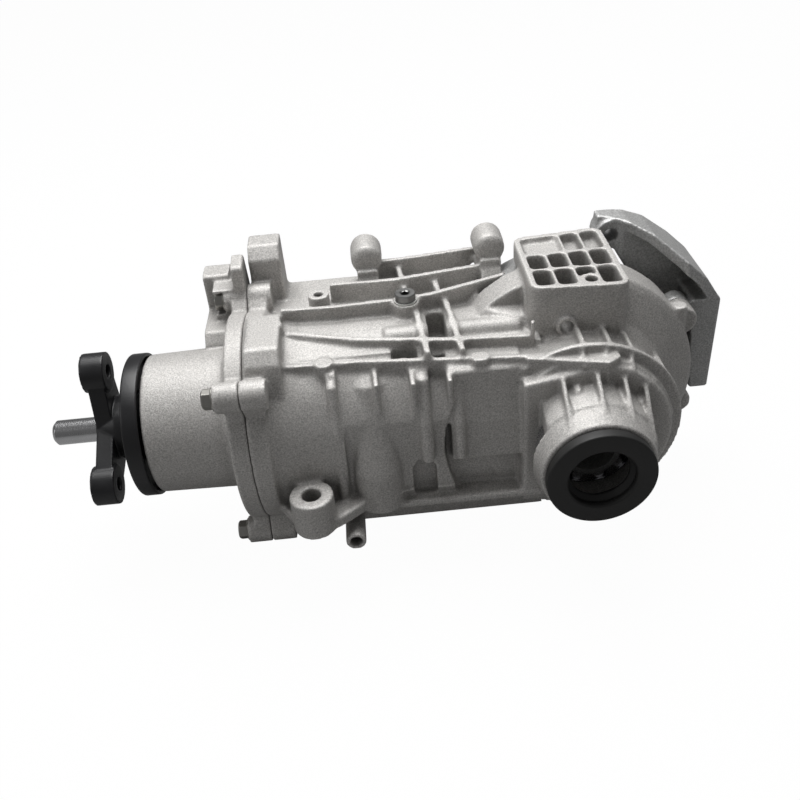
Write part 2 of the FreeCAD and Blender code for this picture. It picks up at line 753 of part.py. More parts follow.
def ring_bolts():
    bolts = []
    for i in range(RING_BOLTS):
        centre = around(s.ring_bolt_circle, 360 * i / RING_BOLTS)
        bolts.append(bolt(f"ring_bolt_{i}", "y", (centre[0] + s.axle_x, centre[1]),
                          s.case_flange_back, s.ring_back - 11, 1))
    keep("ring_gear_bolts", group("ring_gear_bolts_group", bolts))


# Differential case: bored casting with two windows, which carries the ring gear on its flange.
def differential_case():
    spigot = s.ring_back - 12
    shell = turned("diff_case_shell", "y", [
        (-s.trunnion_end, s.trunnion_bore), (-s.trunnion_end, s.trunnion_radius),
        (-s.trunnion_shoulder, s.trunnion_radius), (-s.trunnion_shoulder, s.trunnion_radius + 6),
        (-s.case_radius, s.trunnion_radius + 8), (-s.case_radius + 9, s.case_radius),
        (spigot, s.case_radius), (spigot, s.ring_bore), (s.ring_back, s.ring_bore),
        (s.ring_back, s.case_flange), (s.case_flange_back, s.case_flange),
        (s.case_flange_back, s.case_radius), (s.trunnion_shoulder + 1, s.trunnion_radius + 6),
        (s.trunnion_shoulder + 1, s.trunnion_radius), (s.trunnion_end, s.trunnion_radius),
        (s.trunnion_end, s.trunnion_bore)], s.axle_x)
    cavity = doc.addObject("Part::Sphere", "diff_cavity")
    bind(cavity, "Radius", s.case_cavity)
    place(cavity, s.axle_x)
    half = s.case_radius * 0.55
    window = block("diff_windows", (s.axle_x - half, -half, -s.case_radius - 5),
                   (s.axle_x + half, half, s.case_radius + 5))
    shaft_hole = rod("diff_shaft_hole", "x", s.spider_radius, s.axle_x - s.case_radius - 2,
                     s.axle_x + s.case_radius + 2)
    pin_hole = rod("diff_pin_hole", "y", s.lock_pin_radius, s.case_radius * -1 - 2, size(14),
                   (s.axle_x + s.case_radius - 5, 0))
    holes = []
    for i in range(RING_BOLTS):
        centre = around(s.ring_bolt_circle, 360 * i / RING_BOLTS)
        holes.append(rod(f"diff_bolt_hole_{i}", "y", s.bolt_radius + 0.1, s.ring_back - 1,
                         s.case_flange_back + 1, (centre[0] + s.axle_x, centre[1])))
    keep("differential_case", cut("differential_case_cut", shell, [cavity, window, shaft_hole, pin_hole] + holes))


def spider_shaft():
    shaft = rod("spider_shaft_rod", "x", s.spider_radius, s.axle_x - s.case_radius, s.axle_x + s.case_radius)
    hole = rod("spider_pin_hole", "y", s.lock_pin_radius, size(-20), size(20),
               (s.axle_x + s.case_radius - 5, 0))
    keep("spider_shaft", cut("spider_shaft_cut", shaft, [hole]))
    keep("shaft_lock_pin", rod("shaft_lock_pin_rod", "y", s.lock_pin_radius, -s.case_radius + 10, size(12),
                               (s.axle_x + s.case_radius - 5, 0)))


def small_gear(name, teeth, mate, pitch, bore, first_angle, axis, hub):
    """Side gear or spider gear with a rounded back, its apex at the middle of the differential case."""
    face = SIZES["side_face"]
    copies, cone, outer, module = bevel_teeth(teeth, mate, pitch, face, SIZES["backlash"] * 0.6, first_angle)
    root = -1.12 * module
    large_radius = math.sin(cone) * outer + math.cos(cone) * root
    large_height = math.cos(cone) * outer - math.sin(cone) * root
    shrink = (outer - face) / outer
    back = SIZES["back_radius"]
    reach = math.sin(cone) * outer + 0.4
    rim = math.sqrt(back * back - reach * reach)
    start = Vector(bore, 0, large_height * shrink)
    small = Vector(large_radius * shrink, 0, large_height * shrink)
    large = Vector(large_radius, 0, large_height)
    edge = Vector(reach, 0, rim)
    mid_reach = (reach + bore) / 2
    middle = Vector(mid_reach, 0, math.sqrt(back * back - mid_reach * mid_reach))
    top_radius = max(bore, hub)
    top = Vector(top_radius, 0, math.sqrt(back * back - top_radius * top_radius))
    arc_middle_radius = (reach + top_radius) / 2
    arc_middle = Vector(arc_middle_radius, 0, math.sqrt(back * back - arc_middle_radius * arc_middle_radius))
    edges = [Part.makeLine(start, small), Part.makeLine(small, large), Part.makeLine(large, edge),
             Part.Arc(edge, arc_middle, top).toShape()]
    if hub > bore:
        hub_end = SIZES["trunnion_shoulder"] - 8
        edges.append(Part.makeLine(top, Vector(hub, 0, hub_end)))
        edges.append(Part.makeLine(Vector(hub, 0, hub_end), Vector(bore, 0, hub_end)))
        edges.append(Part.makeLine(Vector(bore, 0, hub_end), start))
    else:
        edges.append(Part.makeLine(top, start))
    blank = Part.Face(Part.Wire(edges)).revolve(Vector(), Vector(0, 0, 1), 360)
    shape = blank.fuse(copies)
    ball = Part.makeSphere(back).fuse(Part.makeCylinder(top_radius, SIZES["trunnion_shoulder"]))
    shape = shape.common(ball)
    shape = shape.cut(Part.makeCylinder(bore, SIZES["trunnion_end"]))
    if hub > bore:
        floor = Part.makeCylinder(bore + 1, SIZES["side_floor"], Vector(0, 0, SIZES["side_floor_start"]))
        shape = shape.fuse(floor)
    keep(name, gear(f"{name}_feature", shape, axis, SIZES["axle_x"]))


def back_washer(name, axis, hole, reach):
    """Rounded thrust washer between a gear's back and the differential case."""
    inner = SIZES["back_radius"] + SIZES["washer_gap"]
    outer = SIZES["case_cavity"] - SIZES["washer_gap"] * 2

    def on_ball(radius, out):
        return Vector(out, 0, math.sqrt(radius * radius - out * out))

    middle = (hole + reach) / 2
    edges = [Part.Arc(on_ball(inner, hole), on_ball(inner, middle), on_ball(inner, reach)).toShape(),
             Part.makeLine(on_ball(inner, reach), on_ball(outer, reach)),
             Part.Arc(on_ball(outer, reach), on_ball(outer, middle), on_ball(outer, hole)).toShape(),
             Part.makeLine(on_ball(outer, hole), on_ball(inner, hole))]
    shape = Part.Face(Part.Wire(edges)).revolve(Vector(), Vector(0, 0, 1), 360)
    keep(name, gear(f"{name}_feature", shape, axis, SIZES["axle_x"]))


def inner_gears():
    side = SIZES["side_pitch"]
    spider = side * SPIDER_TEETH / SIDE_TEETH
    hub = SIZES["trunnion_bore"] - 0.08
    bore = SIZES["side_bore"]
    half_step = 180 / SIDE_TEETH
    small_gear("left_side_gear", SIDE_TEETH, SPIDER_TEETH, side, bore, half_step, "-y", hub)
    small_gear("right_side_gear", SIDE_TEETH, SPIDER_TEETH, side, bore, half_step, "y", hub)
    shaft = SIZES["spider_radius"] + 0.06
    small_gear("front_spider_gear", SPIDER_TEETH, SIDE_TEETH, spider, shaft, 90, "-x", 0)
    small_gear("rear_spider_gear", SPIDER_TEETH, SIDE_TEETH, spider, shaft, 90, "x", 0)
    back_washer("left_gear_washer", "-y", hub + 0.6, side - 1)
    back_washer("right_gear_washer", "y", hub + 0.6, side - 1)
    back_washer("front_spider_washer", "-x", shaft + 0.5, spider)
    back_washer("rear_spider_washer", "x", shaft + 0.5, spider)


# Main case: die-cast aluminium, open at the front bell and at the side cover.
def main_case():
    joint = s.cover_joint
    core = [(s.core_near, -34), (-50, s.core_bottom), (38, s.core_bottom - 1), (70, -52), (s.core_far, -14),
            (s.core_far, 52), (84, s.deck_floor), (-28, s.deck_floor), (-40, 58), (-52, 24), (s.core_near, -12)]
    axle = s.axle_x
    cover_room = s.side_bolt_circle + s.lobe_radius + 1
    core_body = cut("core_trimmed", prism("core", "x", core, s.bell_end - 22, s.core_end), [
        rod("core_room", "y", cover_room, s.case_joint, s.core_far + 20, (axle, 0))])
    parts = [
        turned("bell", "x", [(joint, s.bell_bore - 10), (joint, s.joint_radius), (joint + 13, s.joint_radius),
                             (joint + 16, s.joint_radius - 4), (s.bell_end, s.body_radius + 2),
                             (s.body_end, s.body_radius), (s.body_end, 30), (s.actuator_back, 30),
                             (s.actuator_back, s.bell_bore - 10)]),
        core_body,
        prism("deck", "z", [(142, -30), (330, -34), (330, 86), (142, 86)], s.deck_floor - 6, s.deck_floor),
        turned("barrel", "y", [
            (s.axle_boss_end, 30), (s.axle_boss_end, s.axle_boss - 1), (s.axle_boss_end + 1, s.axle_boss),
            (s.barrel_face - 6, s.axle_boss + 4), (s.barrel_face - 4, s.barrel_step - 3),
            (s.barrel_face, s.barrel_step), (s.barrel_face + 5, s.barrel_step), (s.barrel_face + 7, s.barrel_neck),
            (-30, s.barrel_neck), (-20, s.barrel_neck + 7), (-6, s.barrel_radius - 4), (-2, s.barrel_radius),
            (s.case_joint, s.barrel_radius), (s.case_joint, 30)], axle),
    ]
    holes = []
    for i, angle in enumerate(BOLT_ANGLES):
        centre = around(s.bolt_circle, angle)
        parts.append(rod(f"case_lobe_{i}", "x", s.lobe_radius, joint, joint + 18, centre))
        side = around(s.lobe_radius - 0.5, angle + 90)
        inner = around(s.joint_radius - 14, angle)
        wide = around(s.lobe_radius + 7, angle + 90)
        web = [(centre[0] + side[0], centre[1] + side[1]), (centre[0] - side[0], centre[1] - side[1]),
               (inner[0] - wide[0], inner[1] - wide[1]), (inner[0] + wide[0], inner[1] + wide[1])]
        parts.append(prism(f"case_web_{i}", "x", web, joint, joint + 15))
        holes.append(rod(f"case_hole_{i}", "x", s.bolt_radius, joint - 1, joint + 14, centre))
    # Two tall bosses on the bell
    parts.append(prism("near_boss", "x", [(-62, 20), (-48, 72), (-38, 81), (8, 81), (16, 60), (0, 20)], joint + 3, size(149),
                       corner=size(3)))
    parts.append(prism("far_boss", "x", [(56, 50), (58, 98), (68, 107), (88, 107), (90, 50)], joint + 3, size(149),
                       corner=size(3)))
    # Walls on the deck
    floor = s.deck_floor - 4
    top = s.deck_top
    rails = {
        "near_rail": [(146, -36), (200, -38), (265, -46), (318, -52), (345, -54)],
        "second_rail": [(150, -6), (200, -20), (266, -31), (325, -36)],
        "middle_rail": [(148, 14), (185, 12), (222, 13), (258, 17), (326, 40)],
        "third_rail": [(184, 46), (232, 44), (270, 50), (326, 58)],
        "far_rail": [(214, 76), (250, 78), (300, 84), (342, 88)],
    }
    for name, line in rails.items():
        height = top - 16 if name == "near_rail" else top
        parts.append(prism(name, "z", ribbon([(size(a), size(b)) for a, b in line], s.rail), floor - 8, height))
    ribs = {"rib_one": [(246, 10), (250, -46)], "rib_two": [(268, 26), (274, -46)],
            "rib_three": [(240, 44), (242, 24)], "rib_four": [(264, 48), (266, 24)],
            "rib_five": [(238, 78), (240, 46)], "rib_six": [(300, 84), (301, 54)]}
    for name, line in ribs.items():
        parts.append(prism(name, "z", ribbon([(size(a), size(b)) for a, b in line], s.rail), floor, top - 6))
    parts.append(rod("gallery", "x", size(9), size(222), size(318), (-12, 62)))
    # Upright near wall under the near rail, with its stiffening ribs
    wall_line = [(146, -36), (200, -38), (265, -46), (318, -52), (345, -54), (345, 20), (146, 20)]
    parts.append(prism("near_wall", "z", wall_line, size(-10), floor))
    for i, (x, reach) in enumerate(((212, -62), (237, -66), (262, -68), (300, -69))):
        line = ribbon([(size(x), size(-38)), (size(x + 1), size(reach))], size(3.6))
        parts.append(prism(f"near_rib_{i}", "z", line, size(-30), floor - 2))
    for i, (low, high, bottom) in enumerate((((225, -40), (243, -28), 38), ((253, -41), (266, -35), 38),
                                             ((253, -27), (266, 11), 47), ((245, 24), (261, 43), 50))):
        holes.append(block(f"deck_pocket_{i}", (*low, bottom), (*high, s.deck_top + 1)))
    # Pins that pushed the casting out of its die
    for i, (x, y, z, radius) in enumerate([(178, -38, 65, 6.5), (285, -49, 65, 6.5), (364, -61, 65, 6.5),
                                           (217, 74, 83, 7), (318, 70, 80, 6), (440, 4, 58, 6)]):
        parts.append(rod(f"die_pin_{i}", "z", size(radius), size(z - 30), size(z), (size(x), size(y))))
    # Plug boss and the drilled pad in front
    plug = (s.plug_x, s.plug_y)
    parts.append(rod("plug_boss", "z", s.plug_washer + 1.4, floor - 4, top - 1, plug))
    parts.append(rod("pad_boss", "z", size(8), floor, top, (176, 32)))
    # Posts on the far edge
    for i in range(2):
        centre = (s.post_x + s.post_pitch * i, s.post_z)
        parts.append(rod(f"post_{i}", "y", s.post_radius, size(64), s.post_end, centre))
        parts.append(block(f"post_web_{i}", (centre[0] - 8, size(52), s.deck_floor - 5),
                           (centre[0] + 8, s.post_end - 4, s.post_z - 6)))
        holes.append(rod(f"post_hole_{i}", "y", s.post_hole, s.post_end - 22, s.post_end + 1, centre))
    # Pad tower with its cells
    wall = s.pad_wall
    rib = s.pad_rib

    def pad_line(x, share):
        """Y on a line that runs along the pad, from its near edge at 0 to its far edge at 1."""
        along = (x - s.pad_front) / (s.pad_back - s.pad_front)
        near = s.pad_near - along * s.pad_splay
        far = s.pad_far + along * s.pad_splay
        return near + (far - near) * share

    outline = [(x, pad_line(x, share)) for x, share in
               ((s.pad_front, 0), (s.pad_back, 0), (s.pad_back, 1), (s.pad_front, 1))]
    parts.append(prism("pad_tower", "z", outline, size(30), s.pad_top, corner=s.pad_corner))
    across = (s.pad_back - s.pad_front - 2 * wall - 3 * rib) / 4
    shares = (0, 0.34, 0.62, 1)
    for line, depth in enumerate((s.pad_depth, s.pad_middle_depth, s.pad_far_depth)):
        for column in range(4):
            low_x = s.pad_front + wall + (across + rib) * column
            high_x = low_x + across
            if line == 2 and column == 0:
                high_x = high_x + rib + across
                depth = s.pad_bare_depth
            elif line == 2:
                depth = s.pad_far_depth
            if line == 2 and column == 1:
                continue
            below = wall if line == 0 else rib / 2
            above = wall if line == 2 else rib / 2
            low, high = shares[line:line + 2]
            cell = [(low_x, pad_line(low_x, low) + below), (high_x, pad_line(high_x, low) + below),
                    (high_x, pad_line(high_x, high) - above), (low_x, pad_line(low_x, high) - above)]
            holes.append(prism(f"pad_cell_{column}_{line}", "z", cell, s.pad_top - depth, s.pad_top + 1,
                               corner=size(2.5)))
    # Mounting ear on the near side and the drain stub beside it
    parts.append(rod("ear", "z", s.ear_radius, s.ear_z - s.ear_height, s.ear_z, (s.ear_x, s.ear_y)))
    gusset = [(128, -56), (148, -88), (166, -96), (182, -86), (214, -62)]
    parts.append(prism("ear_gusset", "z", gusset, s.ear_z - s.ear_height, s.ear_z - s.ear_height + 9,
                       corner=size(3)))
    holes.append(rod("ear_bore", "z", s.ear_hole, s.ear_z - s.ear_height - 1, s.ear_z + 1, (s.ear_x, s.ear_y)))
    parts.append(rod("stub", "y", size(7.5), size(-88), size(-40), (187, -60)))
    holes.append(rod("stub_bore", "y", size(4.5), size(-90), size(-66), (187, -60)))
    # Ledge along the near wall
    parts.append(prism("ledge", "y", [(212, -34), (326, -31), (326, -13), (216, -22)], size(-71), size(-50)))
    # Radial ribs round the axle boss
    for i in range(12):
        angle = 30 * i + 12
        inner = around(s.axle_boss - 2, angle)
        outer = around(s.barrel_step - 4, angle)
        rib_line = ribbon([(inner[0] + axle, inner[1]), (outer[0] + axle, outer[1])], size(4))
        parts.append(prism(f"axle_rib_{i}", "y", rib_line, size(-76) if i % 2 else size(-70), size(-56)))
    for i, angle in enumerate((62, 76, 92, 30, 5, -20)):
        inner = around(s.barrel_neck - 4, angle)
        outer = around(s.barrel_step - 1, angle)
        rib_line = ribbon([(inner[0] + axle, inner[1]), (outer[0] + axle, outer[1])], size(3.4))
        parts.append(prism(f"neck_rib_{i}", "y", rib_line, s.barrel_face + 2, size(-24)))
    # Lobes for the side cover bolts
    for i, angle in enumerate(SIDE_BOLT_ANGLES):
        ring = around(s.side_bolt_circle, angle)
        centre = (ring[0] + axle, ring[1])
        parts.append(rod(f"side_lobe_{i}", "y", s.lobe_radius, s.case_joint - 18, s.case_joint, centre))
        holes.append(rod(f"side_thread_{i}", "y", s.bolt_radius, s.case_joint - 16, s.case_joint + 1, centre))
        holes.append(rod(f"side_lobe_room_{i}", "y", s.lobe_radius + 0.4, s.case_joint, s.case_joint + 40, centre))
    # Bores for the bearings and the room for the gears
    holes += [
        rod("bell_room", "x", s.bell_bore, joint - 1, s.actuator_back),
        rod("nut_room", "x", size(30), s.actuator_back - 1, s.front_bearing),
        rod("front_cup_seat", "x", s.front_bearing_outer, s.front_bearing, s.front_bearing + s.front_bearing_width),
        rod("shaft_room", "x", s.front_bearing_outer - 5, s.front_bearing + 1, s.head_bearing),
        rod("head_cup_seat", "x", s.head_bearing_outer, s.head_bearing, s.head_bearing + s.head_bearing_width),
        rod("pinion_room", "x", s.head_bearing_outer - 1, s.head_bearing + 5, s.axle_x - 30),
        turned("gear_room", "y", [
            (s.seal_face, 0), (s.seal_face, s.seal_seat), (s.axle_boss_end + 12, s.seal_seat),
            (s.axle_boss_end + 12, 26), (-s.trunnion_shoulder - s.carrier_bearing_width, 26),
            (-s.trunnion_shoulder - s.carrier_bearing_width, s.carrier_bearing_outer),
            (-s.trunnion_shoulder, s.carrier_bearing_outer), (-s.trunnion_shoulder + 3, 50),
            (s.case_joint - 16, s.gear_room), (s.case_joint - 6, s.side_shell - s.side_wall),
            (s.case_joint + 1, s.side_shell - s.side_wall), (s.case_joint + 1, 0)], axle),
        turned("far_clearance", "y", [
            (s.case_joint, 0), (s.case_joint, s.side_rim + 1.2), (s.core_far + 20, s.side_rim + 1.2),
            (s.core_far + 20, 0)], axle),
        rod("plug_spot", "z", s.plug_washer + 0.8, top - 1, top + 1, plug),
        rod("fill_hole", "z", s.plug_radius - 1, size(40), top + 1, plug),
        rod("pad_boss_hole", "z", size(3.4), top - 14, top + 1, (176, 32)),
        rod("pad_thread", "z", s.pad_hole, s.pad_top - 20, s.pad_top + 1, (367, -19)),
        rod("pad_side_hole", "y", size(5.2), size(-40), size(-18), (347, 72)),
    ]
    casting = fuse("case_casting", parts)
    hollow = cut("case_hollow", casting, holes)
    # The pinion housing stands proud of the side joint, in a saddle of the side cover
    snout = cut("snout", rod("snout_rod", "x", s.snout_radius, s.head_bearing - 9, s.axle_x - 60), [
        rod("snout_seat", "x", s.head_bearing_outer, s.head_bearing, s.axle_x),
        rod("snout_bore", "x", s.head_bearing_outer - 5, s.head_bearing - 10, s.axle_x),
        rod("snout_gear_room", "y", s.side_shell - s.side_wall, size(-60), size(60), (axle, 0))])
    bosses = [snout, rod("pad_bolt_boss", "z", size(8), s.pad_top - s.pad_depth - 1, s.pad_top, (367, -19))]
    solid = fuse("case_with_bosses", [hollow] + bosses)
    keep("main_case", cut("main_case_cut", solid, [
        rod("pad_bolt_hole", "z", s.pad_hole, s.pad_top - 20, s.pad_top + 1, (367, -19))]))


# Side cover: closes the gear room and carries the right carrier bearing and the rear bracket.
def side_cover():
    axle = s.axle_x
    joint = s.case_joint
    face = joint + s.side_flange
    flange_end = s.case_flange_back
    bearing_start = s.trunnion_shoulder + 1
    bearing_end = bearing_start + s.carrier_bearing_width
    shell = turned("side_shell_body", "y", [
        (joint, s.side_shell - s.side_wall), (joint, s.side_rim), (face, s.side_rim),
        (face + 1, s.side_shell), (flange_end - 2, s.side_shell - 3), (flange_end + 15, s.case_flange + 8),
        (flange_end + 18, s.side_nose + 10), (s.side_end - 10, s.side_nose), (s.side_end, s.side_nose),
        (s.side_end, s.seal_seat), (s.side_end - 12, s.seal_seat), (s.side_end - 12, 26), (bearing_end, 26),
        (bearing_end, s.carrier_bearing_outer), (bearing_start, s.carrier_bearing_outer),
        (bearing_start, s.side_nose), (flange_end + 12, s.side_nose + 2), (flange_end + 12, s.case_flange + 2),
        (flange_end + 4, s.case_flange + 3), (flange_end - 6, s.side_shell - s.side_wall)], axle)
    parts = [shell]
    holes = []
    for i, angle in enumerate(SIDE_BOLT_ANGLES):
        ring = around(s.side_bolt_circle, angle)
        centre = (ring[0] + axle, ring[1])
        parts.append(rod(f"side_cover_lobe_{i}", "y", s.lobe_radius, joint, face, centre))
        holes.append(rod(f"side_cover_hole_{i}", "y", s.bolt_radius + 0.3, joint - 1, face + 1, centre))
    # Rear bracket: a flanged arm with a thick end
    web = [(394, 96), (428, 92), (448, 76), (464, 60), (470, 46), (470, -34), (430, -34), (416, 60)]
    band = [(392, 100), (412, 99), (428, 93), (448, 78), (464, 63), (475, 46), (475, -30)]
    arm = fuse("bracket_arm", [
        prism("bracket_web", "y", web, size(58), size(64)),
        prism("bracket_band", "y", ribbon([(size(a), size(b)) for a, b in band], size(8)), joint, size(80))])
    slant = prism("bracket_slant", "z", [(370, 10), (370, 74), (400, 66), (456, 20), (456, 10)], size(-60), size(120))
    parts.append(cut("bracket_arm_cut", arm, [slant]))
    end = [(457, 48), (480, 48), (479, -34), (464, -34)]
    parts.append(prism("bracket_end", "y", end, joint, size(80), corner=size(2)))
    post = (s.post_x + s.post_pitch * 2, s.post_z)
    parts.append(rod("rear_post", "y", s.post_radius, size(62), s.post_end, post))
    saddle = rod("pinion_saddle", "x", s.snout_radius + 0.3, s.head_bearing - 10, s.axle_x - 30)
    holes.append(rod("rear_post_hole", "y", s.post_hole, s.post_end - 22, s.post_end + 1, post))
    hollow = turned("side_clearance", "y", [
        (joint - 1, 0), (joint - 1, s.side_shell - s.side_wall), (joint, s.side_shell - s.side_wall),
        (flange_end - 6, s.side_shell - s.side_wall), (flange_end + 4, s.case_flange + 3),
        (flange_end + 12, s.case_flange + 2), (flange_end + 12, s.side_nose + 2), (bearing_start, s.side_nose),
        (bearing_start, 0)], axle)
    keep("side_cover", cut("side_cover_cut", fuse("side_casting", parts), holes + [hollow, saddle]))
    bolts = []
    for i, angle in enumerate(SIDE_BOLT_ANGLES):
        ring = around(s.side_bolt_circle, angle)
        bolts.append(bolt(f"side_bolt_{i}", "y", (ring[0] + axle, ring[1]), face, joint - 14, 1))
    keep("side_cover_bolts", group("side_cover_bolts_group", bolts))


# Axle seals: rubber-faced rings pressed into both ends.
def axle_seals():
    for name, sign in (("left", 1), ("right", -1)):
        face = s.seal_face if sign > 0 else s.side_end + 8
        seat = s.axle_boss_end if sign > 0 else s.side_end
        inward = sign
        points = [(face, s.seal_lip + 3), (face, s.seal_radius - 1), (face + inward * 1, s.seal_radius),
                  (seat, s.seal_radius), (seat, s.seal_seat), (seat + inward * 10, s.seal_seat),
                  (seat + inward * 10, s.seal_seat - 2), (seat + inward * 2, s.seal_seat - 2),
                  (seat + inward * 2, s.seal_lip), (face + inward * 3, s.seal_lip)]
        keep(f"{name}_axle_seal", turned(f"{name}_axle_seal_body", "y", points, s.axle_x))


def fill_plug():
    centre = (s.plug_x, s.plug_y)
    seat = s.deck_top - 1
    keep("plug_washer", cut("plug_washer_cut", rod("plug_washer_disc", "z", s.plug_washer, seat, seat + 1.2, centre),
                            [rod("plug_washer_hole", "z", s.plug_radius - 1, seat - 1, seat + 3, centre)]))
    body = fuse("fill_plug_blank", [
        rod("fill_plug_head", "z", s.plug_radius, seat + 1.2, seat + 6.5, centre),
        rod("fill_plug_thread", "z", s.plug_radius - 1, seat - 14, seat + 1.2, centre)])
    socket = hexagon("fill_plug_socket", "z", s.plug_socket, seat + 2.5, size(5), centre)
    keep("fill_plug", cut("fill_plug_cut", body, [socket]))


input_flange()
pilot_pin()
dust_shield()
input_shaft()
input_bearing()
input_seal()
coupling_cover()
cover_bolts()
actuator(clutch())
pinion()
bearing("front_pinion", "x", s.front_bearing, s.front_bearing_width, s.front_bearing_bore,
        s.front_bearing_outer, -1)
bearing("head_pinion", "x", s.head_bearing, s.head_bearing_width, s.head_bearing_bore,
        s.head_bearing_outer, 1)
ring_gear()
ring_bolts()
differential_case()
bearing("left_carrier", "y", -s.trunnion_shoulder - s.carrier_bearing_width, s.carrier_bearing_width,
        s.trunnion_radius, s.carrier_bearing_outer, 1, s.axle_x)
bearing("right_carrier", "y", s.trunnion_shoulder + 1, s.carrier_bearing_width, s.trunnion_radius,
        s.carrier_bearing_outer, -1, s.axle_x)
spider_shaft()
inner_gears()
main_case()
side_cover()
axle_seals()
fill_plug()

doc.recompute()

for thing in doc.Objects:
    if "Invalid" in thing.State or "Error" in thing.State:
        raise RuntimeError(f"{thing.Name} failed: {thing.State}")
for name, thing in nodes.items():
    if thing.Shape.isNull() or not thing.Shape.isValid():
        raise RuntimeError(f"{name} has no valid shape")

os.makedirs("parts", exist_ok=True)
for name, thing in nodes.items():
    thing.Shape.exportStep(f"parts/{name}.step")
    print(name, len(thing.Shape.Solids), round(thing.Shape.Volume), thing.Shape.BoundBox)
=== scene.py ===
import math

import bmesh
import bpy
import numpy as np
from mathutils import Matrix, Vector


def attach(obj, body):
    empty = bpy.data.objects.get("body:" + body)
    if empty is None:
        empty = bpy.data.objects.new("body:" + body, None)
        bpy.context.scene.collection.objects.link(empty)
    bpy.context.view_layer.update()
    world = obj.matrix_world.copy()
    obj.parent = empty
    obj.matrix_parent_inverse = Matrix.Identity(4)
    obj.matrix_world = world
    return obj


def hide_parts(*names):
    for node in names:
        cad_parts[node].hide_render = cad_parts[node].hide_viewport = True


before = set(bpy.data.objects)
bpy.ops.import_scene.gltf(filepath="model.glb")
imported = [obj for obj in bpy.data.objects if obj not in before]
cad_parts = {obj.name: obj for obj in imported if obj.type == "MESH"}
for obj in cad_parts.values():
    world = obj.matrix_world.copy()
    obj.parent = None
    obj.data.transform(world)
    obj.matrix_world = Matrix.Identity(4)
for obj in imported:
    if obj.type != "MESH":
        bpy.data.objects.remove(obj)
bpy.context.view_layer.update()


# Pilot pin: ground steel pin pressed into the middle of the input flange, which centres the prop shaft.
# Turned from bar, with a wide lead-in chamfer and a small centre hole left by the lathe.
def soften(outline, reach):
    """Rounded outline: each corner P becomes the curve (1-t)^2 A + 2t(1-t) P + t^2 B.

    A and B lie on the corner's two sides, one reach from it, or 0.45 of a side that is too short.
    """
    corners = np.array(outline, float)
    ends = []
    for other in (np.roll(corners, 1, 0), np.roll(corners, -1, 0)):
        side = other - corners
        length = np.linalg.norm(side, axis=1, keepdims=True)
        ends.append((corners + side * np.minimum(reach / length, 0.45))[:, None])
    t = np.array([0.0, 0.25, 0.5, 0.75, 1.0])[None, :, None]
    curves = (1 - t) ** 2 * ends[0] + 2 * t * (1 - t) * corners[:, None] + t * t * ends[1]
    return curves.reshape(-1, 2)


def closed_solid(name, points, faces, sharp):
    """Object from points in metres, with its faces turned outwards and its edges hard above sharp degrees."""
    mesh = bpy.data.meshes.new(name)
    mesh.from_pydata(points.reshape(-1, 3).tolist(), [], faces)
    cleaner = bmesh.new()
    cleaner.from_mesh(mesh)
    bmesh.ops.remove_doubles(cleaner, verts=cleaner.verts, dist=1e-7)
    bmesh.ops.recalc_face_normals(cleaner, faces=cleaner.faces)
    cleaner.to_mesh(mesh)
    cleaner.free()
    mesh.shade_smooth()
    mesh.set_sharp_from_angle(angle=math.radians(sharp))
    piece = bpy.data.objects.new(name, mesh)
    bpy.context.scene.collection.objects.link(piece)
    return piece


def revolve(name, outline, axis, centre, steps=128):
    """Turned solid: a closed outline of (along, radius) in millimetres, carried round the axis.

    At angle a, the two cross coordinates are radius times cos(a) and radius times sin(a).
    """
    along, radius = np.array(outline, float).T / 1000
    turn = np.linspace(0, 2 * np.pi, steps, endpoint=False)[:, None]
    spots = [radius * np.cos(turn), radius * np.sin(turn)]
    spots.insert("xyz".index(axis), along + 0 * turn)
    points = np.stack(spots, -1) + np.array(centre) / 1000
    here = np.arange(steps * len(along)).reshape(steps, -1)
    after = np.roll(here, -1, 0)
    faces = np.stack([here, np.roll(here, -1, 1), np.roll(after, -1, 1), after], -1).reshape(-1, 4)
    return closed_solid(name, points, faces.tolist(), sharp=35)


def feed(tree, node, sockets):
    """Links each socket to the output that it is given, or sets it where it is given a number or colour."""
    for socket, value in sockets.items():
        if isinstance(value, bpy.types.NodeSocket):
            tree.links.new(value, node.inputs[socket])
        else:
            node.inputs[socket].default_value = value
    return node


def add(tree, kind, sockets, **settings):
    """New shader node of a kind, with its settings and its sockets."""
    node = tree.nodes.new(kind)
    for setting, value in settings.items():
        setattr(node, setting, value)
    return feed(tree, node, sockets)


def noise(tree, where, scale, detail, roughness=0.5):
    """Clouds from 0 to 1, so many to the metre."""
    clouds = add(tree, "ShaderNodeTexNoise", {
        "Vector": where, "Scale": scale, "Detail": detail, "Roughness": roughness})
    return clouds.outputs["Fac"]


def ramp(tree, value, low, high, start=0.0, end=1.0):
    """Number that goes from low to high as the value goes from start to end."""
    spread = add(tree, "ShaderNodeMapRange", {
        "Value": value, "From Min": start, "From Max": end, "To Min": low, "To Max": high})
    return spread.outputs["Result"]


def between(tree, dark, light, share):
    """Colour that goes from dark to light with the share."""
    return add(tree, "ShaderNodeMix", {0: share, 6: (*dark, 1), 7: (*light, 1)}, data_type="RGBA").outputs[2]


def relief(tree, height, strength, depth, over=None):
    """Normal of a bump of the given depth in metres, laid over another one if there is one."""
    sockets = {"Height": height, "Strength": strength, "Distance": depth}
    if over:
        sockets["Normal"] = over
    return add(tree, "ShaderNodeBump", sockets).outputs["Normal"]


def started(name):
    """New material, with its node tree and the place of each point on the piece."""
    material = bpy.data.materials.new(name)
    material.use_nodes = True
    tree = material.node_tree
    return material, tree, tree.nodes.new("ShaderNodeTexCoord").outputs["Object"]


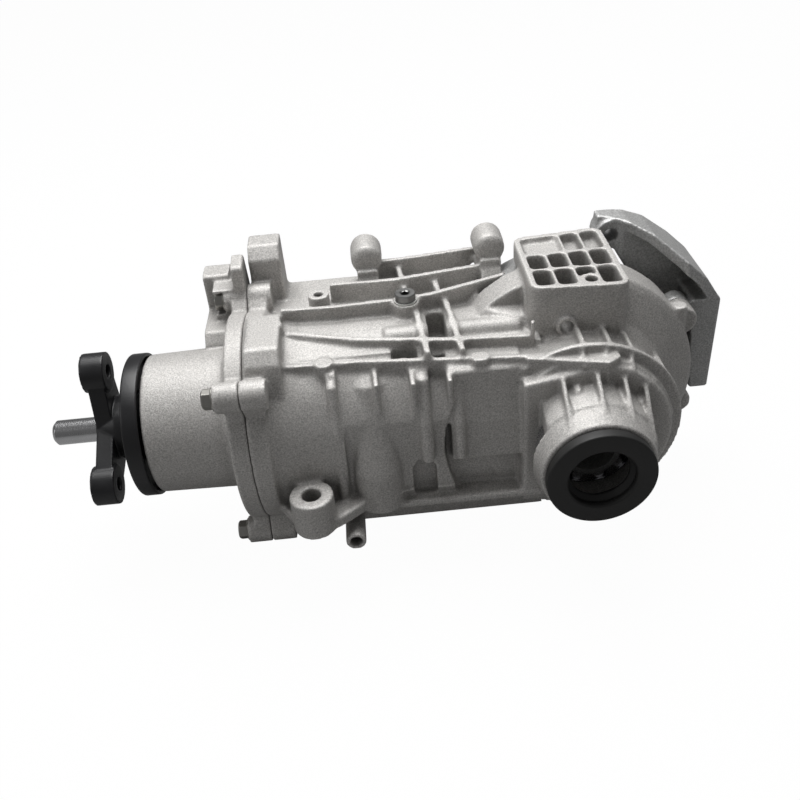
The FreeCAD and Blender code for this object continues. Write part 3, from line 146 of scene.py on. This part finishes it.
def steel(name, dark, light, roughness, stretch):
    """Machined metal: fine scratches drawn out along the directions in which the stretch is small."""
    material, tree, where = started(name)
    drawn = add(tree, "ShaderNodeMapping", {"Vector": where, "Scale": stretch}).outputs["Vector"]
    scratch = noise(tree, drawn, scale=900, detail=3)
    cloud = noise(tree, where, scale=45, detail=4)
    feed(tree, tree.nodes["Principled BSDF"], {
        "Metallic": 1.0,
        "Base Color": between(tree, dark, light, cloud),
        "Roughness": ramp(tree, scratch, roughness - 0.1, roughness + 0.1),
        "Normal": relief(tree, scratch, strength=0.15, depth=0.00005)})
    return material


def stands_for(piece, body, node, material):
    """Gives the piece its material and its body, and hides the CAD node that it is shown in place of."""
    piece.data.materials.clear()
    piece.data.materials.append(material)
    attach(piece, body)
    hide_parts(node)


ground_steel = steel("ground_steel", (0.52, 0.52, 0.53), (0.72, 0.72, 0.73), 0.24, stretch=(3, 0.3, 0.3))
pin = revolve("pilot_pin_turned", soften([
    (-33.0, 0.01), (-33.0, 1.4), (-34.5, 2.6), (-34.5, 6.95), (-32.0, 9.45), (2.5, 9.45), (2.5, 11.0),
    (12.0, 11.0), (12.0, 0.01)], reach=0.3), "x", (0, 0, 0))
stands_for(pin, "input", "pilot_pin", ground_steel)


# Input flange: forged steel hub with three lugs that bolt to the flexible disc of the prop shaft.
# Forged, drilled and faced, then coated in a thin satin black; its edges are soft all round.
def apply_modifiers(piece):
    """Puts the result of a piece's modifiers into its mesh."""
    graph = bpy.context.evaluated_depsgraph_get()
    skin = bpy.data.meshes.new_from_object(piece.evaluated_get(graph))
    piece.modifiers.clear()
    piece.data = skin


def even_skin(node, cell, rounds, triangles, less=(), more=()):
    """Copy of a node's surface as one skin of even cells, which are so many millimetres wide.

    The solids in less are cut out of it and those in more are joined to it first. Each round moves every point
    halfway to the mean of its neighbours, which leaves the edges round.
    """
    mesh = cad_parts[node].data.copy()
    cleaner = bmesh.new()
    cleaner.from_mesh(mesh)
    bmesh.ops.remove_doubles(cleaner, verts=cleaner.verts, dist=1e-6)
    cleaner.to_mesh(mesh)
    cleaner.free()
    piece = bpy.data.objects.new(f"{node}_skin", mesh)
    bpy.context.scene.collection.objects.link(piece)
    cell_size = cell / 1000 * 1
    if less or more:
        whole = piece.modifiers.new("whole", "REMESH")
        whole.mode = "VOXEL"
        whole.voxel_size = cell_size
        for solid in less:
            cut = piece.modifiers.new(solid.name, "BOOLEAN")
            cut.operation = "DIFFERENCE"
            cut.solver = "MANIFOLD"
            cut.object = solid
        apply_modifiers(piece)
        joiner = bmesh.new()
        joiner.from_mesh(piece.data)
        for solid in more:
            joiner.from_mesh(solid.data)
        joiner.to_mesh(piece.data)
        joiner.free()
        for solid in (*less, *more):
            bpy.data.objects.remove(solid)
    cells = piece.modifiers.new("cells", "REMESH")
    cells.mode = "VOXEL"
    cells.voxel_size = cell_size
    even = piece.modifiers.new("even", "SMOOTH")
    even.factor = 0.5
    even.iterations = rounds
    apply_modifiers(piece)
    share = triangles / (2 * max(len(piece.data.polygons), 1))
    if share < 1:
        piece.modifiers.new("fewer", "DECIMATE").ratio = share
        apply_modifiers(piece)
    piece.data.shade_smooth()
    return piece


def coating(name, dark, light, roughness, grain, depth):
    """Coated or moulded skin: a faint orange-peel relief and slow changes of gloss."""
    material, tree, where = started(name)
    peel = noise(tree, where, scale=grain, detail=3)
    cloud = noise(tree, where, scale=60, detail=5)
    feed(tree, tree.nodes["Principled BSDF"], {
        "Specular IOR Level": 0.5,
        "Base Color": between(tree, dark, light, cloud),
        "Roughness": ramp(tree, cloud, roughness - 0.12, roughness + 0.12),
        "Normal": relief(tree, peel, strength=0.3, depth=depth)})
    return material


satin_black = coating("satin_black", (0.010, 0.010, 0.011), (0.022, 0.022, 0.024), 0.38,
                      grain=1300, depth=0.00012)
flange = even_skin("input_flange", cell=0.7, rounds=3, triangles=150000)
stands_for(flange, "input", "input_flange", satin_black)

# Dust shield: pressed steel cup that turns with the flange and keeps grit off the input seal.
# Its front corner is drawn over a round tool, and its rim is rolled; it has the flange's black coating.
shield = revolve("dust_shield_pressed", soften([
    (30.2, 26.6), (30.2, 46.0), (30.6, 49.5), (30.6, 54.2), (42.4, 54.2), (42.4, 51.0), (33.4, 51.0),
    (33.4, 26.6)], reach=1.6), "x", (0, 0, 0), steps=192)
stands_for(shield, "input", "dust_shield", satin_black)

# Input seal: rubber-faced steel ring pressed into the nose of the coupling cover, behind the shield.
# Its rubber is moulded round a pressed sheet ring, and its lip rubs on the neck of the flange.
rubber = coating("moulded_rubber", (0.014, 0.014, 0.014), (0.026, 0.026, 0.025), 0.55,
                 grain=2200, depth=0.00008)
seal = revolve("input_seal_moulded", soften([
    (44.4, 30.0), (52.4, 30.0), (52.4, 28.8), (46.4, 28.8), (46.4, 26.7), (44.4, 26.7)], reach=0.4),
    "x", (0, 0, 0))
stands_for(seal, "housing", "input_seal", rubber)


# Coupling cover: die-cast aluminium bell over the clutch, with the pump housing on its upper far side.
# Held to the main case by five flanged hex bolts; its skin has the fine pebble grain of the die.
def times(tree, colour, number):
    """Colour times a number."""
    product = add(tree, "ShaderNodeMix", {0: 1.0, 6: colour, 7: number}, data_type="RGBA",
                  blend_type="MULTIPLY")
    return product.outputs[2]


def casting(name, dark, light, roughness, grain, depth):
    """Cast metal: pebbled relief of two sizes, slow changes of tone, darker specks, a sandy colour, painted
    shade in the corners and a painted highlight on the raised edges.
    """
    material, tree, where = started(name)
    pebble = noise(tree, where, scale=grain, detail=4, roughness=0.65)
    cloud = noise(tree, where, scale=14, detail=3)
    speck = add(tree, "ShaderNodeTexVoronoi", {"Vector": where, "Scale": grain * 0.45}).outputs["Distance"]
    colour = between(tree, dark, light, cloud)
    colour = times(tree, colour, ramp(tree, speck, 0.82, 1.0, start=0.0, end=0.35))
    colour = times(tree, colour, ramp(tree, pebble, 0.68, 1.2, start=0.36, end=0.64))
    # Painted shade: corners, cells and recesses are painted darker the more closed in they are, where shade
    # falls
    painted_shade_openness = add(tree, "ShaderNodeAmbientOcclusion", {"Distance": 0.016}, samples=6).outputs["AO"]
    colour = times(tree, colour, ramp(tree, painted_shade_openness, 0.5, 1.0, start=0.25, end=0.95))
    # Painted highlight: the raised edges are painted brighter the sharper they are
    edge = tree.nodes.new("ShaderNodeNewGeometry").outputs["Pointiness"]
    colour = times(tree, colour, ramp(tree, edge, 1.0, 1.45, start=0.505, end=0.58))
    fine = relief(tree, pebble, strength=0.55, depth=depth)
    feed(tree, tree.nodes["Principled BSDF"], {
        "Metallic": 0.3,
        "Base Color": colour,
        "Roughness": ramp(tree, pebble, roughness - 0.08, roughness + 0.12),
        "Normal": relief(tree, cloud, strength=0.2, depth=0.0006, over=fine)})
    return material


pebbled = casting("pebbled_aluminium", (0.50, 0.485, 0.465), (0.64, 0.625, 0.605), 0.5,
                  grain=950, depth=0.0005)
cover = even_skin("coupling_cover", cell=1.1, rounds=4, triangles=190000)
stands_for(cover, "housing", "coupling_cover", pebbled)


# Cover bolts: five plated hex bolts with a wide collar under the head, in lobes round the cover's rim.
# The head's corners are turned off at 30 degrees, and its top has a shallow round dish.
def carried(name, rings, sharp=30):
    """Closed solid: a ring of points in millimetres carried from place to place, flat at both ends.

    Several stacks of rings give as many solids in one object.
    """
    points = np.array(rings, float) / 1000
    levels, count = points.shape[-3:-1]
    here = np.arange(points.size // 3).reshape(-1, levels, count)
    after = np.roll(here, -1, 2)
    sides = np.stack([here[:, :-1], after[:, :-1], after[:, 1:], here[:, 1:]], -1).reshape(-1, 4)
    ends = here[:, [0, -1]].reshape(-1, count)
    return closed_solid(name, points, sides.tolist() + ends.tolist(), sharp)


def hexagonal(levels, half_flat):
    """Height and the two cross coordinates of each level (height, radius, six) at 96 angles.

    A hexagon's radius at angle a is half_flat / cos(a), with a counted from the middle of its flat. Where six
    is 1, the level takes the smaller of that and its own radius.
    """
    turn = np.linspace(0, 2 * np.pi, 96, endpoint=False)
    hexagon = half_flat / np.cos((turn + np.pi / 6) % (np.pi / 3) - np.pi / 6)
    height, radius, six = np.array(levels, float).T[:, :, None]
    ring = np.where(six == 1, np.minimum(hexagon, radius), radius)
    return height + 0 * turn, ring * np.sin(turn), ring * np.cos(turn)


def hex_bolts(name, axis, centres, seat, direction, tip):
    """Flanged bolts round the given centres, with their heads on the seat and their shanks down to the tip."""
    height, first, second = hexagonal([
        (tip, 0, 0), (tip, 3.2, 0), (tip + 0.8, 4.0, 0), (0.0, 4.0, 0), (0.0, 8.4, 0), (0.3, 8.6, 0),
        (0.9, 8.5, 0), (1.5, 7.6, 0), (1.55, 7.3, 1), (6.4, 7.3, 1), (7.2, 6.9, 1), (7.95, 6.0, 1),
        (8.0, 5.4, 0), (7.7, 4.6, 0), (7.6, 0, 0)], half_flat=6.35)
    across, over = np.array(centres).T[:, :, None, None]
    spots = [across + first, over + second]
    spots.insert("xyz".index(axis), seat + direction * height + 0 * across)
    return carried(name, np.stack(spots, -1), sharp=25)


plated = steel("plated_steel", (0.40, 0.39, 0.36), (0.58, 0.57, 0.54), 0.36, stretch=(1, 1, 1))
cover_circle = 88
cover_turns = np.radians([56, 136, 237, 294, 352])
cover_centres = cover_circle * np.stack([np.cos(cover_turns), np.sin(cover_turns)], -1)
cover_bolts = hex_bolts("cover_bolts_plated", "x", cover_centres, seat=104.5, direction=-1, tip=-31.5)
stands_for(cover_bolts, "housing", "cover_bolts", plated)


# Main case: die-cast aluminium, with walls and cells on its deck, the drilled pad and the left axle boss.
# One casting with 2 to 3 mm radii on all its edges and the same pebble grain as the cover.
def straight(name, axis, outline, low, high):
    """Closed solid: an outline in the other two coordinates, carried along an axis from low to high."""
    first, second = np.array(outline, float).T
    level = np.array([[low], [high]], float)
    spots = [first + 0 * level, second + 0 * level]
    spots.insert("xyz".index(axis), level + 0 * first)
    return carried(name, np.stack(spots, -1))


def bar(name, axis, places):
    """Round bar: each place is x, y, z and the radius there, with its circle square to the axis."""
    turn = np.linspace(0, 2 * np.pi, 32, endpoint=False)
    circle = np.zeros((32, 3))
    circle[:, 0] = np.cos(turn)
    circle[:, {"y": 2, "z": 1}[axis]] = np.sin(turn)
    places = np.array(places, float)[:, None]
    return carried(name, places[..., :3] + places[..., 3:] * circle)


axle = 357
pad_hole = (348.5, 70)
# The step round the axle opening ends at a plain wall on the left and follows a circle on the right
step_radius = 61
step_turn = np.radians(np.linspace(-58, 80, 36))
step = np.concatenate([
    [(312, 50), (312, -54)],
    np.stack([axle + step_radius * np.cos(step_turn), step_radius * np.sin(step_turn)], -1)])
step_edge = (step - (axle, 0)) * 0.97 + (axle, 0)
# Cut away: room for the fins, flats beside the boss, the second rail's top, the arches and two holes
case_less = [
    revolve("rib_room", [
        (-80, 48.5), (-80, 100), (-54.5, 100), (-54.5, 72), (-57.5, 72), (-57.5, 63), (-64.3, 63),
        (-64.3, 48.5)], "y", (axle, 0, 0)),
    straight("disc_room", "y", [(280, -77), (311, -77), (311, 62), (280, 62)], -73, -58.5),
    straight("bell_side", "y", [(187, -33), (324, -33), (324, 62), (187, 62)], -90, -64),
    straight("second_rail_top", "x", [(-50, 70), (-36, 70), (-20, 71), (-1, 74), (-1, 95), (-50, 95)],
             150.5, 322.5),
    revolve("snout_cone", [(-107, 39.3), (-107, 50), (-89, 50), (-89, 43.4)], "y", (axle, 0, 0)),
    straight("arch_one", "y", [(233, -41), (233, -16), (237, -9), (246, -9), (250, -16), (250, -41)],
             -75, -57),
    straight("arch_two", "y", [(263, -42), (263, -16), (266, -9), (274, -9), (277, -16), (277, -42)],
             -75, -57),
    straight("arch_wide", "y", [(283, -42), (287, -14), (309, -16), (309, -42)], -75, -56),
    bar("pad_side_hole", "y", [(pad_hole[0], y, pad_hole[1], 4.8) for y in (-36, -12)]),
    revolve("tower_pin_groove", [(105.4, 5.2), (105.4, 7), (109, 7), (109, 5.2)], "z", (141, 78, 0)),
]
# Joined on: the step, the wall's end and face, its ledge and bulge, and the ring round the pad's side hole
case_more = [
    carried("axle_step", [np.insert(step, 1, -55, 1), np.insert(step, 1, -67, 1),
                          np.insert(step_edge, 1, -68.5, 1)]),
    straight("rail_end", "z", [(316, -50), (316, -56.5), (369, -70.5), (378, -64), (378, -50)], -10, 64),
    straight("wall_face", "x", [
        (-46, 62), (-56, 58), (-64, 20), (-66, -10), (-52, -14), (-40, -14), (-30, 62)], 262, 313),
    straight("ledge", "x", [(-70, -43), (-70, -48), (-54, -51), (-54, -41)], 214, 330),
    bar("wall_bulge", "z", [
        (208, -34, 56, 8), (208, -38, 50, 15), (208, -46, 24, 19), (208, -57, -12, 19), (208, -58, -46, 19)]),
    revolve("pad_side_ring", [(-31.5, 4.6), (-31.5, 7.6), (-25, 8.8), (-25, 4.6)], "y",
            (pad_hole[0], 0, pad_hole[1])),
]
for number, (x, wide, low) in enumerate(((182, 3.6, -46), (244.5, 4.4, -7), (268, 3.6, -7))):
    case_more.append(straight(f"wall_bead_{number}", "x", [
        (-46, 60), (-52, 54), (-63, 24), (-66, low), (-44, low), (-42, 60)], x - wide, x + wide))
    case_more.append(bar(f"wall_round_{number}", "z", [
        (x, -52, 57, 1), (x, -53, 55, wide), (x, -63, 24, wide + 0.6), (x, -66, 5, wide + 0.6),
        (x, -67, low, wide)]))
boss_radius = 42
for number, (x, top) in enumerate(((338, 55), (361, 57), (380, 51), (395, 43))):
    foot = math.sqrt(boss_radius ** 2 - (x - axle) ** 2)
    case_more.append(straight(f"boss_fin_{number}", "x", [
        (-58, top), (-69, top), (-99, foot - 1.5), (-99, foot - 6), (-58, foot - 6)], x - 1.7, x + 1.7))
for number, (x, top) in enumerate(((353, 70), (369, 69), (387, 63))):
    case_more.append(straight(f"disc_fin_{number}", "x", [
        (-52, top), (-56, top), (-68, top - 10), (-52, top - 12)], x - 1.5, x + 1.5))
for number, x in enumerate((214, 308)):
    case_more.append(bar(f"post_root_{number}", "y", [
        (x, 55, 89, 6), (x, 56.5, 89.5, 9.5), (x, 59, 90, 11.6), (x, 66, 90, 11.9)]))
    case_more.append(straight(f"post_foot_{number}", "x", [
        (42, 60), (42, 68), (60, 88), (66, 88), (66, 60)], x - 8, x + 8))
case_skin = even_skin("main_case", 1.25, 4, 197000, less=case_less, more=case_more)
stands_for(case_skin, "housing", "main_case", pebbled)

# Fill plug: turned steel plug with a hexagon socket, screwed into the deck on a soft aluminium ring.
# The plug is oiled black, and the ring is punched from sheet and crushed a little as the plug is tightened.
plug_x, plug_y = 239.5, 12
plug_height, plug_rise, plug_side = hexagonal([
    (65.0, 0, 0), (65.0, 5.2, 0), (66.0, 5.9, 0), (80.2, 5.9, 0), (80.2, 7.3, 0), (80.5, 7.6, 0),
    (84.9, 7.6, 0), (85.5, 7.0, 0), (85.5, 3.9, 0), (85.0, 3.3, 0), (84.8, 3.3, 1), (76.6, 3.3, 1),
    (76.5, 0, 0)], half_flat=2.75)
plug = carried("fill_plug_turned", np.stack([plug_x + plug_side, plug_y + plug_rise, plug_height], -1))
oiled = steel("oiled_steel", (0.20, 0.20, 0.20), (0.36, 0.36, 0.35), 0.34, stretch=(0.4, 0.4, 2))
stands_for(plug, "housing", "fill_plug", oiled)
soft_ring = revolve("plug_washer_flat", soften([
    (79.05, 5.95), (79.05, 8.6), (80.15, 8.6), (80.15, 5.95)], reach=0.25), "z", (plug_x, plug_y, 0))
soft_aluminium = steel("soft_aluminium", (0.62, 0.62, 0.60), (0.76, 0.76, 0.74), 0.42, stretch=(1, 1, 1))
stands_for(soft_ring, "housing", "plug_washer", soft_aluminium)

# Side cover: smoother aluminium casting that closes the gear room and carries the rear bracket.
# Six flanged bolts hold it to the main case, through lobes round its joint.
smooth_cast = casting("smooth_aluminium", (0.44, 0.44, 0.435), (0.58, 0.58, 0.572), 0.42,
                      grain=800, depth=0.0003)
side_cover = even_skin("side_cover", cell=1.2, rounds=4, triangles=190000)
stands_for(side_cover, "housing", "side_cover", smooth_cast)
side_circle = 98
side_turns = np.radians([-20, 25, 148, 212, 245, 290])
side_centres = np.stack([axle + side_circle * np.cos(side_turns), side_circle * np.sin(side_turns)], -1)
side_bolts = hex_bolts("side_cover_bolts_plated", "y", side_centres, seat=36, direction=1, tip=-26)
stands_for(side_bolts, "housing", "side_cover_bolts", plated)

# Axle seals: pressed steel rings covered in rubber, with a folded dust lip round the half-shaft's opening.
# The face is one flat ring, and the two lips stand back from it.
seal_depth, seal_radius = np.array([
    (0, 24.6), (0, 36.6), (0.8, 37.4), (7.6, 37.4), (7.6, 36.6), (12.0, 36.6), (12.0, 29.0), (18.0, 29.0),
    (18.0, 27.2), (10.4, 27.2), (10.4, 20.4), (8.9, 20.4), (5.6, 23.6), (3.0, 22.9), (1.0, 23.4)]).T
for side, face, inwards in (("left", -114.3, 1), ("right", 112.0, -1)):
    ring = revolve(f"{side}_axle_seal_moulded", soften(
        np.stack([face + inwards * seal_depth, seal_radius], -1), reach=0.5), "y", (axle, 0, 0), steps=192)
    stands_for(ring, "housing", f"{side}_axle_seal", rubber)


# Bearings: taper roller bearings on the pinion and the carrier, and the input shaft's own bearing.
# Their races and rollers are hardened steel, ground bright on the tracks, and pressed into or onto their seats.
def finished(material, nodes):
    """Gives each of these CAD nodes its material."""
    for node in nodes:
        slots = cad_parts[node].data.materials
        slots.clear()
        slots.append(material)


ground_race = steel("ground_race", (0.48, 0.48, 0.50), (0.66, 0.66, 0.68), 0.26, stretch=(1, 1, 1))
for bearing in ("front_pinion", "head_pinion", "left_carrier", "right_carrier"):
    finished(ground_race, [f"{bearing}_{piece}" for piece in ("cup", "cone", "rollers")])
finished(ground_race, [f"input_bearing_{piece}" for piece in ("outer", "inner", "rollers")])

# Clutch: shaft, drum, hub, piston and pressure plate of turned steel, in oil inside the coupling cover.
# Its steel outer plates lie between inner plates that are faced with brown friction paper.
turned_steel = steel("turned_steel", (0.34, 0.34, 0.35), (0.52, 0.52, 0.53), 0.36, stretch=(2.5, 0.5, 0.5))
finished(turned_steel, ("input_shaft", "clutch_drum", "clutch_hub", "outer_plates", "pressure_plate",
                        "thrust_needles", "clutch_piston", "actuator_ring", "pinion_nut", "crush_sleeve"))
finished(coating("friction_paper", (0.16, 0.10, 0.06), (0.26, 0.17, 0.11), 0.85, grain=2600, depth=0.0001),
         ("inner_plates",))

# Final drive: case-hardened gears with a dark phosphate skin, in a cast-iron differential case.
# The ring gear is bolted to that case, and the side and spider gears run on bronze thrust washers.
gear_steel = steel("gear_steel", (0.24, 0.24, 0.25), (0.42, 0.42, 0.42), 0.33, stretch=(1, 1, 1))
finished(gear_steel, ("pinion_shaft", "ring_gear", "left_side_gear", "right_side_gear", "front_spider_gear",
                      "rear_spider_gear", "spider_shaft", "shaft_lock_pin", "ring_gear_bolts"))
bronze = steel("thrust_bronze", (0.42, 0.27, 0.12), (0.58, 0.40, 0.19), 0.35, stretch=(1, 1, 1))
finished(bronze, ("left_gear_washer", "right_gear_washer", "front_spider_washer", "rear_spider_washer"))
finished(casting("cast_iron", (0.13, 0.13, 0.13), (0.22, 0.22, 0.215), 0.55, grain=800, depth=0.0004),
         ("differential_case",))

# Pale studio floor of matt card, a few millimetres under the lowest point.
# The camera sees most of it as white, and the rest of it keeps the object's shadow.
floor_z = -0.106
floor_mesh = bpy.data.meshes.new("floor")
floor_mesh.from_pydata([(-5, -4, floor_z), (6, -4, floor_z), (6, 8, floor_z), (-5, 8, floor_z)], [],
                       [(0, 1, 2, 3)])
floor = bpy.data.objects.new("floor", floor_mesh)
bpy.context.scene.collection.objects.link(floor)
white = bpy.data.materials.new("studio_white")
white.use_nodes = True
tree = white.node_tree
card = feed(tree, tree.nodes["Principled BSDF"], {"Base Color": (0.3, 0.3, 0.3, 1), "Roughness": 0.9})
glow = add(tree, "ShaderNodeEmission", {"Color": (1, 1, 1, 1), "Strength": 1.05})
seen = tree.nodes.new("ShaderNodeLightPath").outputs["Is Camera Ray"]
share = add(tree, "ShaderNodeMath", {0: seen, 1: 0.93}, operation="MULTIPLY").outputs[0]
blend = add(tree, "ShaderNodeMixShader", {0: share, 1: card.outputs[0], 2: glow.outputs[0]})
feed(tree, tree.nodes["Material Output"], {"Surface": blend.outputs[0]})
floor_mesh.materials.append(white)

# Soft studio light: a dim even surround, a wide lamp overhead and a weak one from the left.
# The camera sees the surround as white; each lamp is a square panel turned to its target.
world = bpy.data.worlds.new("studio")
bpy.context.scene.world = world
world.use_nodes = True
tree = world.node_tree
surround = feed(tree, tree.nodes["Background"], {"Color": (1, 1, 1, 1), "Strength": 0.13})
plain = add(tree, "ShaderNodeBackground", {"Color": (1, 1, 1, 1), "Strength": 1.0})
seen = tree.nodes.new("ShaderNodeLightPath").outputs["Is Camera Ray"]
blend = add(tree, "ShaderNodeMixShader", {0: seen, 1: surround.outputs[0], 2: plain.outputs[0]})
feed(tree, tree.nodes["World Output"], {"Surface": blend.outputs[0]})
for name, spot, target, width, watts in (("overhead", (0.15, 0.45, 1.4), (0.22, 0.0, 0.0), 1.1, 27),
                                         ("left_fill", (-1.2, -0.5, 0.9), (0.2, 0.0, 0.0), 0.6, 2.5)):
    lamp = bpy.data.lights.new(name, "AREA")
    lamp.size = width
    lamp.energy = watts
    holder = bpy.data.objects.new(name, lamp)
    holder.location = spot
    holder.rotation_euler = (Vector(target) - Vector(spot)).to_track_quat("-Z", "Y").to_euler()
    bpy.context.scene.collection.objects.link(holder)
bpy.context.scene.view_settings.view_transform = "Standard"

# Camera: the photo's view, found from the round flange, shield and axle ring.
# It looks down from the near side, a little off the axle line, and leans to the left.
down, off_axle, lean = (math.radians(angle) for angle in (35.976, -0.963, -5.058))
focal_length = 40.2685
stand = (0.219669, -0.555073, 0.402263)
back = Vector((math.sin(off_axle) * math.cos(down), -math.cos(off_axle) * math.cos(down), math.sin(down)))
level = Vector((math.cos(off_axle), math.sin(off_axle), 0))
upright = back.cross(level)
right = level * math.cos(lean) + upright * math.sin(lean)
up = upright * math.cos(lean) - level * math.sin(lean)
lens = bpy.data.cameras.new("photo_camera")
lens.lens = focal_length
lens.sensor_width = 36
lens.clip_start = 0.01
camera = bpy.data.objects.new("photo_camera", lens)
placing = Matrix((right, up, back)).transposed().to_4x4()
placing.translation = Vector(stand)
camera.matrix_world = placing
bpy.context.scene.collection.objects.link(camera)
bpy.context.scene.camera = camera
